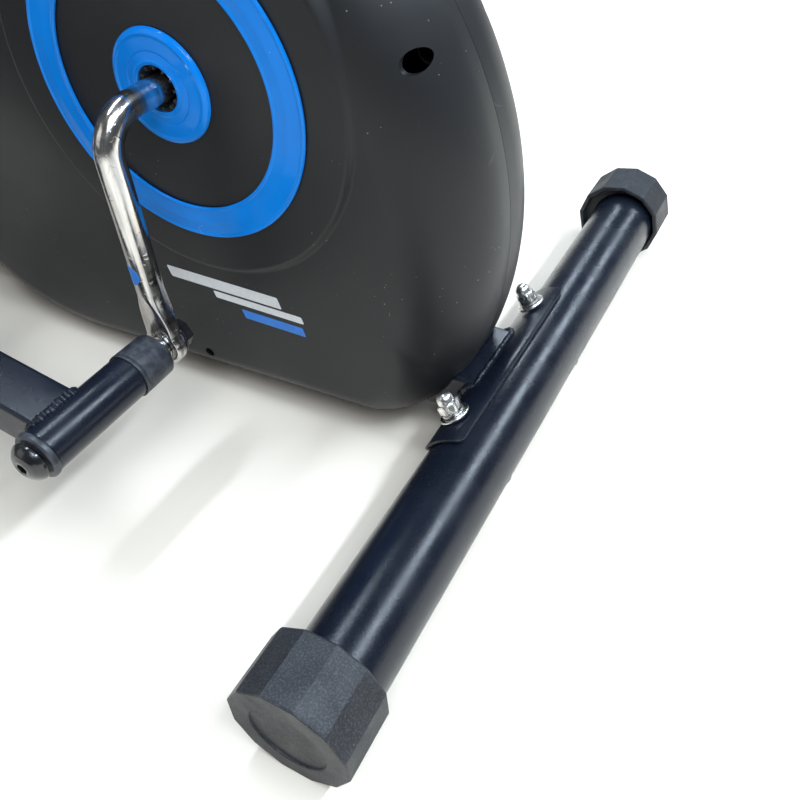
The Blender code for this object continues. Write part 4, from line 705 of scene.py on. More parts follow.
def casing_skin(side):
    """The outside of one casing half: disc, flat side and soft back in one skin."""
    sign = SIDES[side]
    outline = casing_outline()
    count = len(outline)
    fixed = [HUB_HOLE, 0.0204, 0.0212, 0.03, 0.045, 0.06, 0.075, 0.09, 0.105, 0.1145]
    fixed += [0.1172 + 0.0009 * step for step in range(12)]
    flat_rings, round_rings = 7, 13
    loops = [[] for _ in range(len(fixed) + flat_rings + round_rings + 2)]
    for index, (x, z, edge) in enumerate(outline):
        before, after = outline[index - 1], outline[(index + 1) % count]
        run = Vector((after[0] - before[0], 0, after[1] - before[1])).normalized()
        outward = Vector((run.z, 0, -run.x))
        spoke = Vector((x, 0, z)) - Vector((HUB.x, 0, HUB.z))
        reach = spoke.length
        spoke.normalize()
        lean = spoke.dot(outward)
        start = max(reach - edge / lean, fixed[-1] + 0.002)
        begin = math.acos(max(0.0, 1 - (reach - start) * lean / edge))
        radii = [(radius, None) for radius in fixed]
        radii += [(fixed[-1] + (start - fixed[-1]) * (step + 1) / (flat_rings + 1), None)
                  for step in range(flat_rings)]
        for step in range(round_rings + 1):
            turn = begin * (1 - step / round_rings)
            radii.append((reach - edge * (1 - math.cos(turn)) / lean, turn))
        for ring, (radius, turn) in enumerate(radii):
            inset = (reach - radius) * lean
            if turn is None:
                turn = math.pi / 2 if inset >= edge else math.acos(1 - inset / edge)
            height = CASE_HALF - edge + edge * math.sin(turn)
            height = soft_max(height, disc_height(radius))
            if radius < HUB_HOLE + 0.0010:
                height -= (HUB_HOLE + 0.0010 - radius) * 0.8
            point = HUB + spoke * radius
            loops[ring].append(Vector((point.x, sign * height, point.z)))
        loops[-1].append(Vector((x, sign * GAP / 2, z)) - outward * 0.0006)
        loops[-2][-1] = Vector((x, sign * (CASE_HALF - edge), z))
    return Shape().skin(loops)


def keel_openings():
    """The two blocks that are cut out of the casing for the keel tube, behind and in front."""
    low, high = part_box("keel_tube")
    room = 0.0012
    shape = Shape()
    for start, end in ((-0.1, 0.1), (0.3, 0.6)):
        shape.block((REAR.x + start, -high.y - room, low.z - room),
                    (REAR.x + end, high.y + room, KEEL_TOP + room), 0.002)
    return shape


def screw_cup(side, number, spot, radius, depth):
    """The cup behind a screw hole, and the small dark screw at its bottom."""
    profile = [(radius + 0.0012, depth - 0.016), (radius + 0.0012, depth), (radius - 0.0002, depth),
               (radius - 0.0006, depth - 0.0120), (0.0026, depth - 0.0124), (0.0026, depth - 0.016)]
    boss = Shape().ring(profile, 0.0006, spot, out(side), SMALL)
    piece(f"{side}_screw_boss_{number}", boss, "casing", "frame")
    head = [(TINY, depth - 0.0090), (0.0030, depth - 0.0094), (0.0034, depth - 0.0104),
            (0.0034, depth - 0.0122), (TINY, depth - 0.0122)]
    screw = Shape().turn(eased(head, 0.0006), spot, out(side), 32)
    piece(f"{side}_casing_screw_{number}", screw, "black", "frame")


def casing(side):
    """One casing half with its wall, the openings for the keel and the screw holes."""
    mesh = casing_skin(side).mesh(side + "_casing_shell")
    if mesh.polygons[0].normal.y * SIDES[side] < 0:
        mesh.flip_normals()
    result = piece(side + "_casing_shell", mesh, "casing", "frame", side + "_cover", crease=40.0)
    wall = result.modifiers.new("wall", "SOLIDIFY")
    wall.thickness = CASE_WALL
    wall.offset = -1.0
    cut(result, keel_openings())
    holes = Shape()
    for spot, radius in screw_spots():
        rod(holes, spot + out(side) * 0.012, spot + out(side) * 0.09, radius, RIM, SMALL)
    cut(result, holes)
    for number, (spot, radius) in enumerate(screw_spots()):
        depth = wall_depth(result, spot, radius, side) - CASE_WALL - 0.0004
        screw_cup(side, number, spot, radius, depth)


def wall_depth(shell, spot, radius, side):
    """The least distance from the middle plane to the casing's outside, round a screw hole."""
    bpy.context.view_layer.update()
    depths = []
    for step in range(12):
        turn = math.tau * step / 12
        start = spot + Vector((math.cos(turn), 0, math.sin(turn))) * (radius + 0.0010) + out(side) * 0.1
        hit, place = shell.ray_cast(start, -out(side))[:2]
        if hit:
            depths.append(abs(place.y))
    return min(depths)


def screw_spots():
    """Where the recessed holes of the casing lie, and their radii."""
    return [(CASE_CENTRE + Vector((-SCREW_ACROSS, 0, SCREW_UP)), SCREW_RADIUS),
            (CASE_CENTRE + Vector((SCREW_ACROSS, 0, SCREW_UP)), SCREW_RADIUS),
            (CASE_CENTRE + Vector((-OVAL_BACK, 0, -OVAL_DOWN)), OVAL_RADIUS)]


def fine(node, shape, look, crease=SHARP):
    """The detailed piece that stands for one CAD node, on the node's own body."""
    return piece(node + "_fine", shape, look, BODY[node], node, crease)


def tube(shape, path, section, up=Z, fillet=0.0008, steps=4):
    """Sweep a section along a path, with eased ends."""
    size = max(abs(number) for point in section for number in point)
    ahead, behind = (path[1] - path[0]).normalized(), (path[-2] - path[-1]).normalized()
    turns = [math.pi / 2 * step / steps for step in range(steps + 1)]
    head = [path[0] + ahead * fillet * (1 - math.cos(turn)) for turn in turns]
    tail = [path[-1] + behind * fillet * (1 - math.cos(turn)) for turn in reversed(turns)]
    ease = [1 - fillet / size * (1 - math.sin(turn)) for turn in turns]
    points = head + list(path[1:-1]) + tail
    scales = ease + [1.0] * (len(path) - 2) + ease[::-1]
    return shape.sweep(points, section, up, [(scale, scale) for scale in scales])


# ---- Trims on the casing ---------------------------------------------------------------------
RING_INNER, RING_OUTER = 0.0743, 0.0946
HUB_DISC, HUB_BORE = 0.0335, 0.0135
CRANK_ROD = 0.0080


def trims(side):
    """The blue ring and the blue hub disc."""
    face = DISC_FACE + GAP
    low, high = RING_INNER, RING_OUTER
    profile = [(low, face), (low + 0.0002, face + 0.0017), (low + 0.0016, face + 0.0021),
               (low + 0.0026, face + 0.0015), ((low + high) / 2, face + 0.0022),
               (high - 0.0026, face + 0.0015), (high - 0.0016, face + 0.0021),
               (high - 0.0002, face + 0.0017), (high, face)]
    fine("blue_ring_" + side, Shape().ring(profile, 0.0012, HUB, out(side), 192), "blue")
    groove = HUB_DISC * 0.62
    profile = [(HUB_BORE, face), (HUB_BORE, face + 0.0040), (HUB_BORE + 0.0020, face + 0.0042),
               (HUB_BORE + 0.0030, face + 0.0036), (groove - 0.0005, face + 0.0034), (groove, face + 0.0029),
               (groove + 0.0005, face + 0.0034), (HUB_DISC - 0.0050, face + 0.0028),
               (HUB_DISC - 0.0032, face + 0.0033), (HUB_DISC - 0.0008, face + 0.0020), (HUB_DISC, face)]
    fine("hub_disc_" + side, Shape().ring(profile, 0.0005, HUB, out(side), 144), "blue")


def hub_guard(side):
    """The dark ribbed guard in the hub disc's bore."""
    face = DISC_FACE + GAP
    outer, inner = HUB_BORE - 0.0003, CRANK_ROD + 0.0022
    profile = [(outer, face - 0.0060), (outer, face + 0.0030), (inner + 0.0012, face + 0.0006),
               (inner, face - 0.0016), (inner, face - 0.0060)]
    guard = Shape().ring(profile, 0.0005, HUB, out(side), MEDIUM)
    ribs = 12
    for rib in range(ribs):
        turn = Matrix.Rotation(math.tau * rib / ribs, 4, "Y")
        place = Matrix.Translation(HUB) @ turn
        near, far = sorted((SIDES[side] * (face - 0.0010), SIDES[side] * (face + 0.0031)))
        guard.block((inner + 0.0004, near, -0.0007), (outer - 0.0002, far, 0.0007), 0.0002, place)
    piece("hub_guard_" + side, guard, "cap", "frame")


# ---- Crank -----------------------------------------------------------------------------------
CRANK_PLANE = 0.1080
CRANK_BEND = 0.0230
EYE_RADIUS, EYE_HALF = 0.0130, 0.0050
BOLT_RADIUS = 0.0060


def smooth_step(value, low, high):
    """0 below low, 1 above high, and an S-shaped rise between them."""
    t = min(1.0, max(0.0, (value - low) / (high - low)))
    return t * t * (3 - 2 * t)


def crank():
    """The one-piece crank: a bent round rod, forged flat into an eye at both ends."""
    shift = Y * CRANK_PLANE
    left, right = EYE["left"] + shift, EYE["right"] - shift
    corners = [left - Z * EYE_RADIUS, HUB + shift, HUB - shift, right + Z * EYE_RADIUS]
    path = split(rounded_path(corners, CRANK_BEND, 20), 0.0012)
    loops = []
    for index, point in enumerate(path):
        ahead = (path[min(index + 1, len(path) - 1)] - path[max(index - 1, 0)]).normalized()
        side = X.cross(ahead)
        reach = min((point - left).dot(Z), (right - point).dot(Z))
        near = min((point - left).length, (point - right).length)
        flat = 1 - smooth_step(near, 0.0130, 0.0420)
        thick = CRANK_ROD + (EYE_HALF - CRANK_ROD) * flat
        wide = CRANK_ROD + 0.0022 * flat
        if near < EYE_RADIUS:
            eye = math.sqrt(max(EYE_RADIUS ** 2 - reach ** 2, 0.0))
            wide = eye if reach < 0 else max(wide, eye)
            wide = max(wide, 0.0004)
            if reach < 0:
                thick = EYE_HALF - 0.0010 * (1 - min(1.0, eye / 0.0060))
        power = 2 / (2 + 4.5 * flat)
        loop = []
        for step in range(56):
            angle = math.tau * (step + 0.5) / 56
            u = math.copysign(abs(math.cos(angle)) ** power, math.cos(angle)) * thick
            v = math.copysign(abs(math.sin(angle)) ** power, math.sin(angle)) * wide
            loop.append(point + side * u + X * v)
        loops.append(loop)
    result = fine("crank", Shape().loops(loops), "chrome", 40.0)
    holes = Shape()
    for side in SIDES:
        bore = out(side) * CRANK_PLANE
        rod(holes, EYE[side] + bore - out(side) * 0.02, EYE[side] + bore + out(side) * 0.02,
            BOLT_RADIUS + GAP, RIM, SMALL)
    cut(result, holes)


def sticker():
    """The plain round blue sticker on the left crank arm, bent round the rod."""
    centre = EYE["left"] + Y * CRANK_PLANE + Z * 0.0558
    radius = 0.0068
    facing = math.radians(62.0)
    loops = []
    thick = 0.00022
    for reach, height in ((0.0001, thick), (0.35, thick), (0.7, thick), (0.97, thick), (1.0, 0.0001),
                          (1.0, -0.0006)):
        loop = []
        for step in range(48):
            angle = math.tau * step / 48
            turn = facing + math.cos(angle) * reach * radius / CRANK_ROD
            spot = Vector((math.cos(turn), math.sin(turn), 0)) * (CRANK_ROD + height)
            loop.append(centre + spot + Z * math.sin(angle) * reach * radius)
        loops.append(loop)
    piece("crank_sticker", Shape().loops(loops[::-1]), "azure", "crank")


# ---- Crank bolts and their sleeves, as distances from the middle plane -----------------------
SLEEVE, SLEEVE_BORE = 0.0140, 0.0118
SLEEVE_LOW, SLEEVE_HIGH = 0.1285, 0.2085
COLLAR_LOW, COLLAR_HIGH = 0.1190, 0.1420
COLLAR = 0.0150
FLANGE_HIGH = 0.2130
HEAD, HEAD_LOW, HEAD_HIGH = 0.0123, 0.2148, 0.2222
NUT_LOW, NUT_HIGH = 0.0932, 0.1027


def crank_bolt(side):
    """The dome-headed bolt with its hexagon socket, and the flanged nut."""
    shape = Shape()
    socket = 0.0036
    profile = [(BOLT_RADIUS, NUT_LOW - 0.0015), (BOLT_RADIUS, HEAD_LOW), (HEAD, HEAD_LOW),
               (HEAD + 0.0001, HEAD_LOW + 0.0016), (HEAD - 0.0012, HEAD_LOW + 0.0038),
               (HEAD - 0.0038, HEAD_HIGH - 0.0012), (socket + 0.0018, HEAD_HIGH),
               (socket + 0.0006, HEAD_HIGH)]
    rings = [(TINY, NUT_LOW - 0.0018), (BOLT_RADIUS - 0.0008, NUT_LOW - 0.0018)] + eased(profile, 0.0009)
    rings += [(socket, HEAD_HIGH - 0.0003, 6), (socket, HEAD_HIGH - 0.0040, 6), (TINY, HEAD_HIGH - 0.0046)]
    shape.turn(rings, EYE[side], out(side))
    nut = [(BOLT_RADIUS, NUT_LOW), (0.0082, NUT_LOW), (0.0102, NUT_LOW + 0.0012),
           (0.0102, NUT_HIGH - 0.0024)]
    rings = eased(nut, 0.0004) + [(BOLT_RADIUS, NUT_HIGH - 0.0022)]
    shape.turn(rings, EYE[side], out(side), flats=0.0087)
    flange = [(BOLT_RADIUS, NUT_HIGH - 0.0026), (0.0092, NUT_HIGH - 0.0024), (0.0117, NUT_HIGH - 0.0012),
              (0.0117, NUT_HIGH), (BOLT_RADIUS, NUT_HIGH)]
    shape.ring(flange, 0.0006, EYE[side], out(side))
    fine("crank_bolt_" + side, shape, "black")


def crank_spacer(side):
    """The chromed washer stack between the crank's eye and the collar."""
    low = CRANK_PLANE + EYE_HALF + GAP
    profile = [(BOLT_RADIUS + 0.0002, low), (0.0088, low), (0.0088, low + 0.0022), (0.0105, low + 0.0024),
               (0.0105, COLLAR_LOW - GAP), (BOLT_RADIUS + 0.0002, COLLAR_LOW - GAP)]
    spacer = Shape().ring(profile, 0.0004, EYE[side], out(side), MEDIUM)
    piece("crank_spacer_" + side, spacer, "chrome", "crank")


# ---- Pedal bars ------------------------------------------------------------------------------
BAR_WIDTH, BAR_HEIGHT, BAR_CORNER = 0.0310, 0.0270, 0.0030
BAR_PLANE = 0.1873
BAR_DROP = 0.0025
BAR_REAR_LENGTH = 0.1200
BAR_REAR_DIP = math.radians(9.0)
PLATE_START, PLATE_LENGTH, PLATE_WIDTH, PLATE_HEIGHT = 0.1350, 0.2900, 0.1380, 0.0120
PLATE_INNER = 0.1230


def direction(angle):
    """A unit vector in the XZ plane, at an angle above the floor's direction."""
    return Vector((math.cos(angle), 0, math.sin(angle)))


def bar_line(side):
    """The bar's bend, and the slopes of its rear and front stretches."""
    line = LINK[side] - EYE[side]
    rear = math.atan2(line.z, line.x) - BAR_REAR_DIP
    bend = EYE[side] + direction(rear) * BAR_REAR_LENGTH
    rest = LINK[side] - bend
    return bend, rear, math.atan2(rest.z, rest.x)


def pedal_bar(side):
    """Sleeve, bent rectangular tube and rounded front end."""
    eye = EYE[side]
    bend, rear, _ = bar_line(side)
    body = BODY["pedal_bar_" + side]
    profile = [(SLEEVE_BORE, SLEEVE_LOW), (SLEEVE, SLEEVE_LOW),
               (SLEEVE, SLEEVE_HIGH), (SLEEVE_BORE, SLEEVE_HIGH)]
    fine("pedal_bar_" + side, Shape().ring(profile, 0.0005, eye, out(side)), "paint")
    offset = out(side) * BAR_PLANE - Z * BAR_DROP
    half_width, half_height = BAR_WIDTH / 2, BAR_HEIGHT / 2
    section = rounded_outline(-half_width, -half_height, half_width, half_height, BAR_CORNER, 5)
    start, end = eye + direction(rear) * 0.0025 + offset, LINK[side] + offset
    path = rounded_path([start, bend + offset, end], 0.070, 10)
    bar = piece("bar_tube_" + side, Shape().sweep(split(path, 0.03), section), "paint", body)
    near, far = out(side) * (BAR_PLANE - 0.03), out(side) * (BAR_PLANE + 0.03)
    cut(bar, rod(Shape(), eye + near, eye + far, SLEEVE - 0.0002, RIM, LARGE))
    tip = rod(Shape(), end - Y * half_width, end + Y * half_width, half_height, 0.0022, MEDIUM)
    piece("bar_end_" + side, tip, "paint", body)


def bar_welds(side):
    """The beads where the bar meets its sleeve: one across the top and one down each side."""
    eye = EYE[side]
    _, rear, _ = bar_line(side)
    bead = Shape()
    top = BAR_HEIGHT / 2 - BAR_DROP
    across = [out(side) * (BAR_PLANE + share * BAR_WIDTH / 2) for share in (-1.02, 1.02)]
    rise, ahead = direction(rear + math.pi / 2), direction(rear)
    start = math.asin(top / SLEEVE)
    ridge = eye + rise * top + ahead * (SLEEVE * math.cos(start))
    weld_bead(bead, [ridge + across[0], ridge + across[1]], 0.0031, 1.0)
    reach = SLEEVE + 0.0004
    for seed, edge in enumerate(across):
        line = []
        for step in range(15):
            turn = start - (start + 1.45) * step / 14
            line.append(eye + edge + rise * reach * math.sin(turn) + ahead * reach * math.cos(turn))
        weld_bead(bead, line, 0.0020, 5.0 + seed)
    piece("bar_weld_" + side, bead, "weld", BODY["pedal_bar_" + side])


def bushes(side):
    """The collar on the crank's side of the sleeve and the flanged bush outside."""
    bore, spigot = BOLT_RADIUS + GAP, SLEEVE_BORE - GAP
    lip = COLLAR_HIGH - 0.0030
    profile = [(bore, COLLAR_LOW), (COLLAR - 0.0004, COLLAR_LOW), (COLLAR - 0.0001, lip - 0.0007),
               (COLLAR - 0.0007, lip - 0.0002), (COLLAR - 0.0007, lip + 0.0002), (COLLAR, lip + 0.0008),
               (COLLAR, COLLAR_HIGH), (SLEEVE + GAP / 2, COLLAR_HIGH), (SLEEVE + GAP / 2, SLEEVE_LOW - GAP),
               (spigot, SLEEVE_LOW - GAP), (spigot, COLLAR_HIGH + 0.003), (bore, COLLAR_HIGH + 0.003)]
    fine("bush_collar_" + side, Shape().ring(profile, 0.0005, EYE[side], out(side)), "bush")
    low = SLEEVE_HIGH + GAP
    profile = [(bore, SLEEVE_HIGH - 0.015), (spigot, SLEEVE_HIGH - 0.015), (spigot, low),
               (COLLAR - 0.0003, low), (COLLAR, low + 0.0010), (COLLAR, FLANGE_HIGH - 0.0012),
               (COLLAR - 0.0012, FLANGE_HIGH), (bore + 0.0020, FLANGE_HIGH), (bore, FLANGE_HIGH - 0.0006)]
    fine("flange_bush_" + side, Shape().ring(profile, 0.0005, EYE[side], out(side)), "bush")


def foot_plate(side):
    """The foot plate: a rounded tray with a raised rim, tread ribs and four screws."""
    bend, _, front = bar_line(side)
    place = Matrix.Translation(bend) @ Matrix.Rotation(-front, 4, "Y")
    start = PLATE_START - BAR_REAR_LENGTH
    end = start + PLATE_LENGTH
    base = BAR_HEIGHT / 2 - BAR_DROP + GAP
    low, high = sorted((SIDES[side] * PLATE_INNER, SIDES[side] * (PLATE_INNER + PLATE_WIDTH)))
    corner, rim, floor = 0.0350, 0.0060, base + PLATE_HEIGHT - 0.0030

    def level(inset, height):
        outline = rounded_outline(start + inset, low + inset, end - inset, high - inset,
                                  max(corner - inset, 0.004), 12)
        return [place @ Vector((x, y, height)) for x, y in outline]

    top = base + PLATE_HEIGHT
    levels = [(0.0100, base), (0.0040, base), (0.0020, base + 0.0006), (0.0008, base + 0.0024),
              (0.0, top - 0.0024), (0.0004, top - 0.0008), (0.0016, top), (rim - 0.0016, top),
              (rim - 0.0004, top - 0.0008), (rim + 0.0006, floor + 0.0008), (rim + 0.0020, floor)]
    shape = Shape().loops([level(inset, height) for inset, height in levels])
    ribs = 15
    for rib in range(ribs):
        y = low + 0.014 + (high - low - 0.028) * rib / (ribs - 1)
        short = 0.018 + 0.020 * abs(2 * rib / (ribs - 1) - 1) ** 3
        shape.block((start + short, y - 0.0016, floor - 0.0010), (end - short, y + 0.0016, floor + 0.0018),
                    0.0007, place, 2)
    fine("foot_plate_" + side, shape, "tread")
    screws = Shape()
    for x in (start + 0.055, end - 0.055):
        for y in (-0.0085, 0.0085):
            spot = place @ Vector((x, SIDES[side] * BAR_PLANE + y, floor + 0.0004))
            head = [(TINY, 0.0), (0.0050, 0.0), (0.0048, 0.0012), (0.0034, 0.0024), (0.0014, 0.0026)]
            recess = [(0.0013, 0.0025, 6), (0.0013, 0.0012, 6), (TINY, 0.0010)]
            screws.turn(eased(head, 0.0006) + recess, spot, place.to_3x3() @ Z, SMALL)
    piece("plate_screws_" + side, screws, "zinc", BODY["foot_plate_" + side])


def link_bolt(side):
    """The bolt at the bar's front end, with a domed head outside and a spacer inside."""
    outer, inner = BAR_PLANE + BAR_WIDTH / 2 + GAP, BAR_PLANE - BAR_WIDTH / 2 - GAP
    tip = min(abs(corner.y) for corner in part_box("link_bolt_" + side))
    profile = [(0.0100, tip), (0.0100, inner - 0.0004), (0.0050, inner), (0.0050, outer), (0.0095, outer),
               (0.0095, outer + 0.0022), (0.0078, outer + 0.0052), (0.0046, outer + 0.0068)]
    rings = [(TINY, tip)] + eased(profile, 0.0008)
    rings += [(0.0030, outer + 0.0068, 6), (0.0030, outer + 0.0036, 6), (TINY, outer + 0.0032)]
    fine("link_bolt_" + side, Shape().turn(rings, LINK[side], out(side), MEDIUM), "black")


# ---- Stabilisers -----------------------------------------------------------------------------
TUBE = 0.0250
SADDLE_THICKNESS = 0.0025
SADDLE_LENGTH, SADDLE_CORNER, SADDLE_TOP_CORNER = 0.1650, 0.0120, 0.0060
SADDLE_LOW, SADDLE_HIGH = math.radians(8.0), math.radians(90.0)
BOLT_SPACING, BOLT_ANGLE = 0.1200, math.radians(57.0)
CAP_RADIUS, CAP_LENGTH, CAP_BASE = 0.0341, 0.0365, 0.0040
CAP_SIDES = 12
KEEL_CORNER = 0.0032
KEEL_COPE = TUBE + SADDLE_THICKNESS + 2 * GAP
CAP_CLIP = 0.9975               # how far out the corners between two facets may reach


def stabiliser(node, centre):
    """The round cross tube that stands on the floor."""
    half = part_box(node)[1].y
    profile = [(TINY, -half), (TUBE - 0.0016, -half), (TUBE, -half + 0.0004), (TUBE, half - 0.0004),
               (TUBE - 0.0016, half), (TINY, half)]
    fine(node, Shape().turn(profile, centre, Y, 128), "paint")


def saddle(node, centre, forward):
    """The thin curved plate that clamps a stabiliser, with round lower corners and soft edges."""
    inner = TUBE + GAP
    outer = inner + SADDLE_THICKNESS
    lip = 0.0006
    loops = []
    steps = 44
    for step in range(steps + 1):
        share = step / steps
        angle = SADDLE_LOW + (SADDLE_HIGH - SADDLE_LOW) * smooth_step(share, 0.0, 1.0)
        reach = (angle - SADDLE_LOW) * outer
        inset = 0.0
        left = (SADDLE_HIGH - angle) * outer
        for distance, corner in ((reach, SADDLE_CORNER), (left, SADDLE_TOP_CORNER)):
            if distance < corner:
                inset = corner - math.sqrt(corner ** 2 - (corner - distance) ** 2)
        half = SADDLE_LENGTH / 2 - inset
        thin = lip * (1 - min(1.0, step / 2, (steps - step) / 2))
        low, high = inner + thin, outer - thin
        across = [(-half + lip, high), (half - lip, high), (half - lip * 0.3, high - lip * 0.3),
                  (half, high - lip), (half, low + lip), (half - lip, low), (-half + lip, low),
                  (-half, low + lip), (-half, high - lip), (-half + lip * 0.3, high - lip * 0.3)]
        loops.append([centre + Vector((forward * math.cos(angle) * radius, y, math.sin(angle) * radius))
                      for y, radius in across])
    if forward > 0:
        loops = loops[::-1]
    fine(node, Shape().loops(loops), "paint", 45.0)


def stabiliser_bolt(node, centre, forward):
    """Flat washer, split spring washer, hexagon and dome nut on a carriage bolt."""
    sign = 1 if "left" in node else -1
    base = TUBE + SADDLE_THICKNESS + 3 * GAP
    axis = Vector((forward * math.cos(BOLT_ANGLE), 0, math.sin(BOLT_ANGLE)))
    origin = centre + Y * sign * BOLT_SPACING / 2
    low = -TUBE - GAP
    shape = Shape()
    shank = [(TINY, low - 0.0038), (0.0060, low - 0.0034), (0.0088, low - 0.0008), (0.0090, low),
             (0.0039, low), (0.0039, base + 0.0100), (TINY, base + 0.0100)]
    shape.turn(eased(shank, 0.0006), origin, axis, SMALL)
    washer = [(0.0042, base + 0.0001), (0.0098, base + 0.0001), (0.0100, base + 0.0010),
              (0.0096, base + 0.0017), (0.0042, base + 0.0017)]
    shape.ring(washer, 0.0004, origin, axis, MEDIUM)
    spring_washer(shape, origin, axis, base + 0.0018, sign)
    nut_low, nut_high = base + 0.0044, base + 0.0106
    nut = [(0.0040, nut_low), (0.0066, nut_low), (0.0074, nut_low + 0.0007), (0.0074, nut_high - 0.0009),
           (0.0062, nut_high)]
    dome = arc((0.0, nut_high + 0.0016), 0.0053, 0.0, math.pi / 2 - 0.02, 12)
    rings = nut + [(0.0054, nut_high + 0.0001)] + [(max(radius, TINY), height) for radius, height in dome]
    shape.turn(rings, origin, axis, flats=0.0066, start=Y + axis.cross(Y) * 0.35 * sign)
    fine(node, shape, "zinc", 30.0)


def spring_washer(shape, origin, axis, height, sign):
    """A split ring whose ends stand a little apart in height."""
    across = axis.cross(Y).normalized()
    loops = []
    steps = 56
    for step in range(steps + 1):
        share = step / steps
        angle = 0.7 * sign + math.tau * 0.975 * share
        spoke = Y * math.cos(angle) + across * math.sin(angle)
        lift = height + 0.0001 + 0.0006 * share
        corners = [(0.0044, 0.0), (0.0070, 0.0), (0.0073, 0.0003), (0.0073, 0.0015), (0.0070, 0.0018),
                   (0.0044, 0.0018)]
        loops.append([origin + spoke * radius + axis * (lift + rise) for radius, rise in corners])
    shape.loops(loops)


def cap(node, centre):
    """A twelve-sided cup with softened corners and a shallow round recess in its face."""
    sign = 1 if "left" in node else -1
    turns = CAP_PHASE[node]
    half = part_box("rear_stabiliser")[1].y
    face = half + CAP_BASE
    mouth = half - CAP_LENGTH + CAP_BASE
    axis_at = cap_centre(node, centre)
    steps = CAP_SIDES * 10
    flat = math.cos(math.pi / CAP_SIDES)

    def loop(radius, y, polygon=True, middle_point=axis_at):
        points = []
        for step in range(steps):
            angle = math.tau * step / steps
            reach = radius
            if polygon:
                inner = angle % (math.tau / CAP_SIDES) - math.pi / CAP_SIDES
                reach = min(radius * CAP_CLIP, radius * flat / math.cos(inner))
            turn = angle + turns
            points.append(middle_point + Vector((math.cos(turn) * reach, sign * y, math.sin(turn) * reach)))
        return points

    radius = CAP_RADIUS
    recess = radius * 0.62
    bore = TUBE + 2 * GAP
    loops = [loop(bore, half + GAP, False, centre), loop(bore, mouth + 0.0060, False, centre),
             loop(bore + 0.0006, mouth + 0.0054, False, centre), loop(radius - 0.0042, mouth + 0.0054),
             loop(radius - 0.0038, mouth + 0.0048), loop(radius - 0.0034, mouth + 0.0005),
             loop(radius - 0.0030, mouth), loop(radius - 0.0012, mouth),
             loop(radius - 0.0004, mouth + 0.0004), loop(radius, mouth + 0.0012)]
    loops += [loop(radius, mouth + (face - mouth) * share) for share in (0.3, 0.6)]
    loops += [loop(radius, face - 0.0011), loop(radius - 0.0003, face - 0.0004), loop(radius - 0.0010, face)]
    loops += [loop(recess + 0.0008, face, False), loop(recess + 0.0001, face - 0.0003, False),
              loop(recess - 0.0002, face - 0.0011, False), loop(recess - 0.0010, face - 0.0013, False)]
    if sign > 0:
        loops = loops[::-1]
    fine(node, Shape().loops(loops), "cap", crease=11.0)


CAP_TURN_LEFT, CAP_TURN_RIGHT = math.radians(45.0), math.radians(34.5)
CAP_PHASE = {"rear_cap_left": CAP_TURN_LEFT, "rear_cap_right": CAP_TURN_RIGHT,
             "front_cap_left": CAP_TURN_LEFT, "front_cap_right": CAP_TURN_LEFT}


def cap_centre(node, centre):
    """The middle of the cap's faces; a rear cap is off centre, to raise or lower its corner."""
    if node.startswith("front"):
        return centre.copy()
    low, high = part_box(node)
    return Vector(((low.x + high.x) / 2, 0, (low.z + high.z) / 2))


def front_lug(side):
    """The lug, pin and pin head that hold a transport wheel on a front cap."""
    near, far = sorted(abs(corner.y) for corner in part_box("transport_wheel_" + side))
    sign = SIDES[side]
    outline = rounded_outline(WHEEL.x - 0.0230, -0.0110, WHEEL.x + 0.0090, 0.0110, 0.0080, 8)
    thick, soft = 0.0080, 0.0006
    loops = []
    for inset, depth in ((soft, 0.0), (0.0, soft), (0.0, thick - soft), (soft, thick)):
        loops.append([Vector((x - math.copysign(inset, x - WHEEL.x), sign * (near - soft - depth),
                              WHEEL.z + z - math.copysign(inset, z))) for x, z in outline])
    lug = Shape().loops(loops if sign > 0 else loops[::-1])
    piece("front_lug_" + side, lug, "cap", BODY["front_cap_" + side])
    profile = [(TINY, near - 0.0030), (0.0039, near - 0.0030), (0.0039, far + 0.0006),
               (0.0074, far + 0.0006), (0.0076, far + 0.0016), (0.0050, far + 0.0026), (TINY, far + 0.0028)]
    pin = Shape().turn(eased(profile, 0.0006), WHEEL, out(side), SMALL)
    piece("front_pin_" + side, pin, "zinc", BODY["front_cap_" + side])


def transport_wheel(side):
    """A wheel with a raised rim and hub on both faces."""
    low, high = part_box("transport_wheel_" + side)
    near, far = sorted((abs(low.y), abs(high.y)))
    radius = (high.z - low.z) / 2
    half = [(0.0043, 0.0), (0.0085, 0.0), (0.0100, 0.0012), (radius - 0.0060, 0.0012),
            (radius - 0.0040, 0.0), (radius - 0.0014, 0.0), (radius, 0.0016)]
    profile = [(reach, near + depth) for reach, depth in half]
    profile += [(reach, far - depth) for reach, depth in reversed(half)]
    fine("transport_wheel_" + side, Shape().ring(profile, 0.0008, WHEEL, out(side)), "cap")


def keel():
    """The rounded rectangular keel, coped to both saddles."""
    low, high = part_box("keel_tube")
    centre = (low + high) / 2
    section = rounded_outline(low.y - centre.y, low.z - centre.z, high.y - centre.y, high.z - centre.z,
                              KEEL_CORNER)
    path = split([Vector((x, centre.y, centre.z)) for x in (low.x, high.x)], 0.05)
    result = fine("keel_tube", tube(Shape(), path, section, Z, 0.0006), "paint")
    cope = Shape()
    for middle in (REAR, FRONT):
        rod(cope, middle - Y * 0.06, middle + Y * 0.06, KEEL_COPE, RIM, LARGE)
    cut(result, cope)


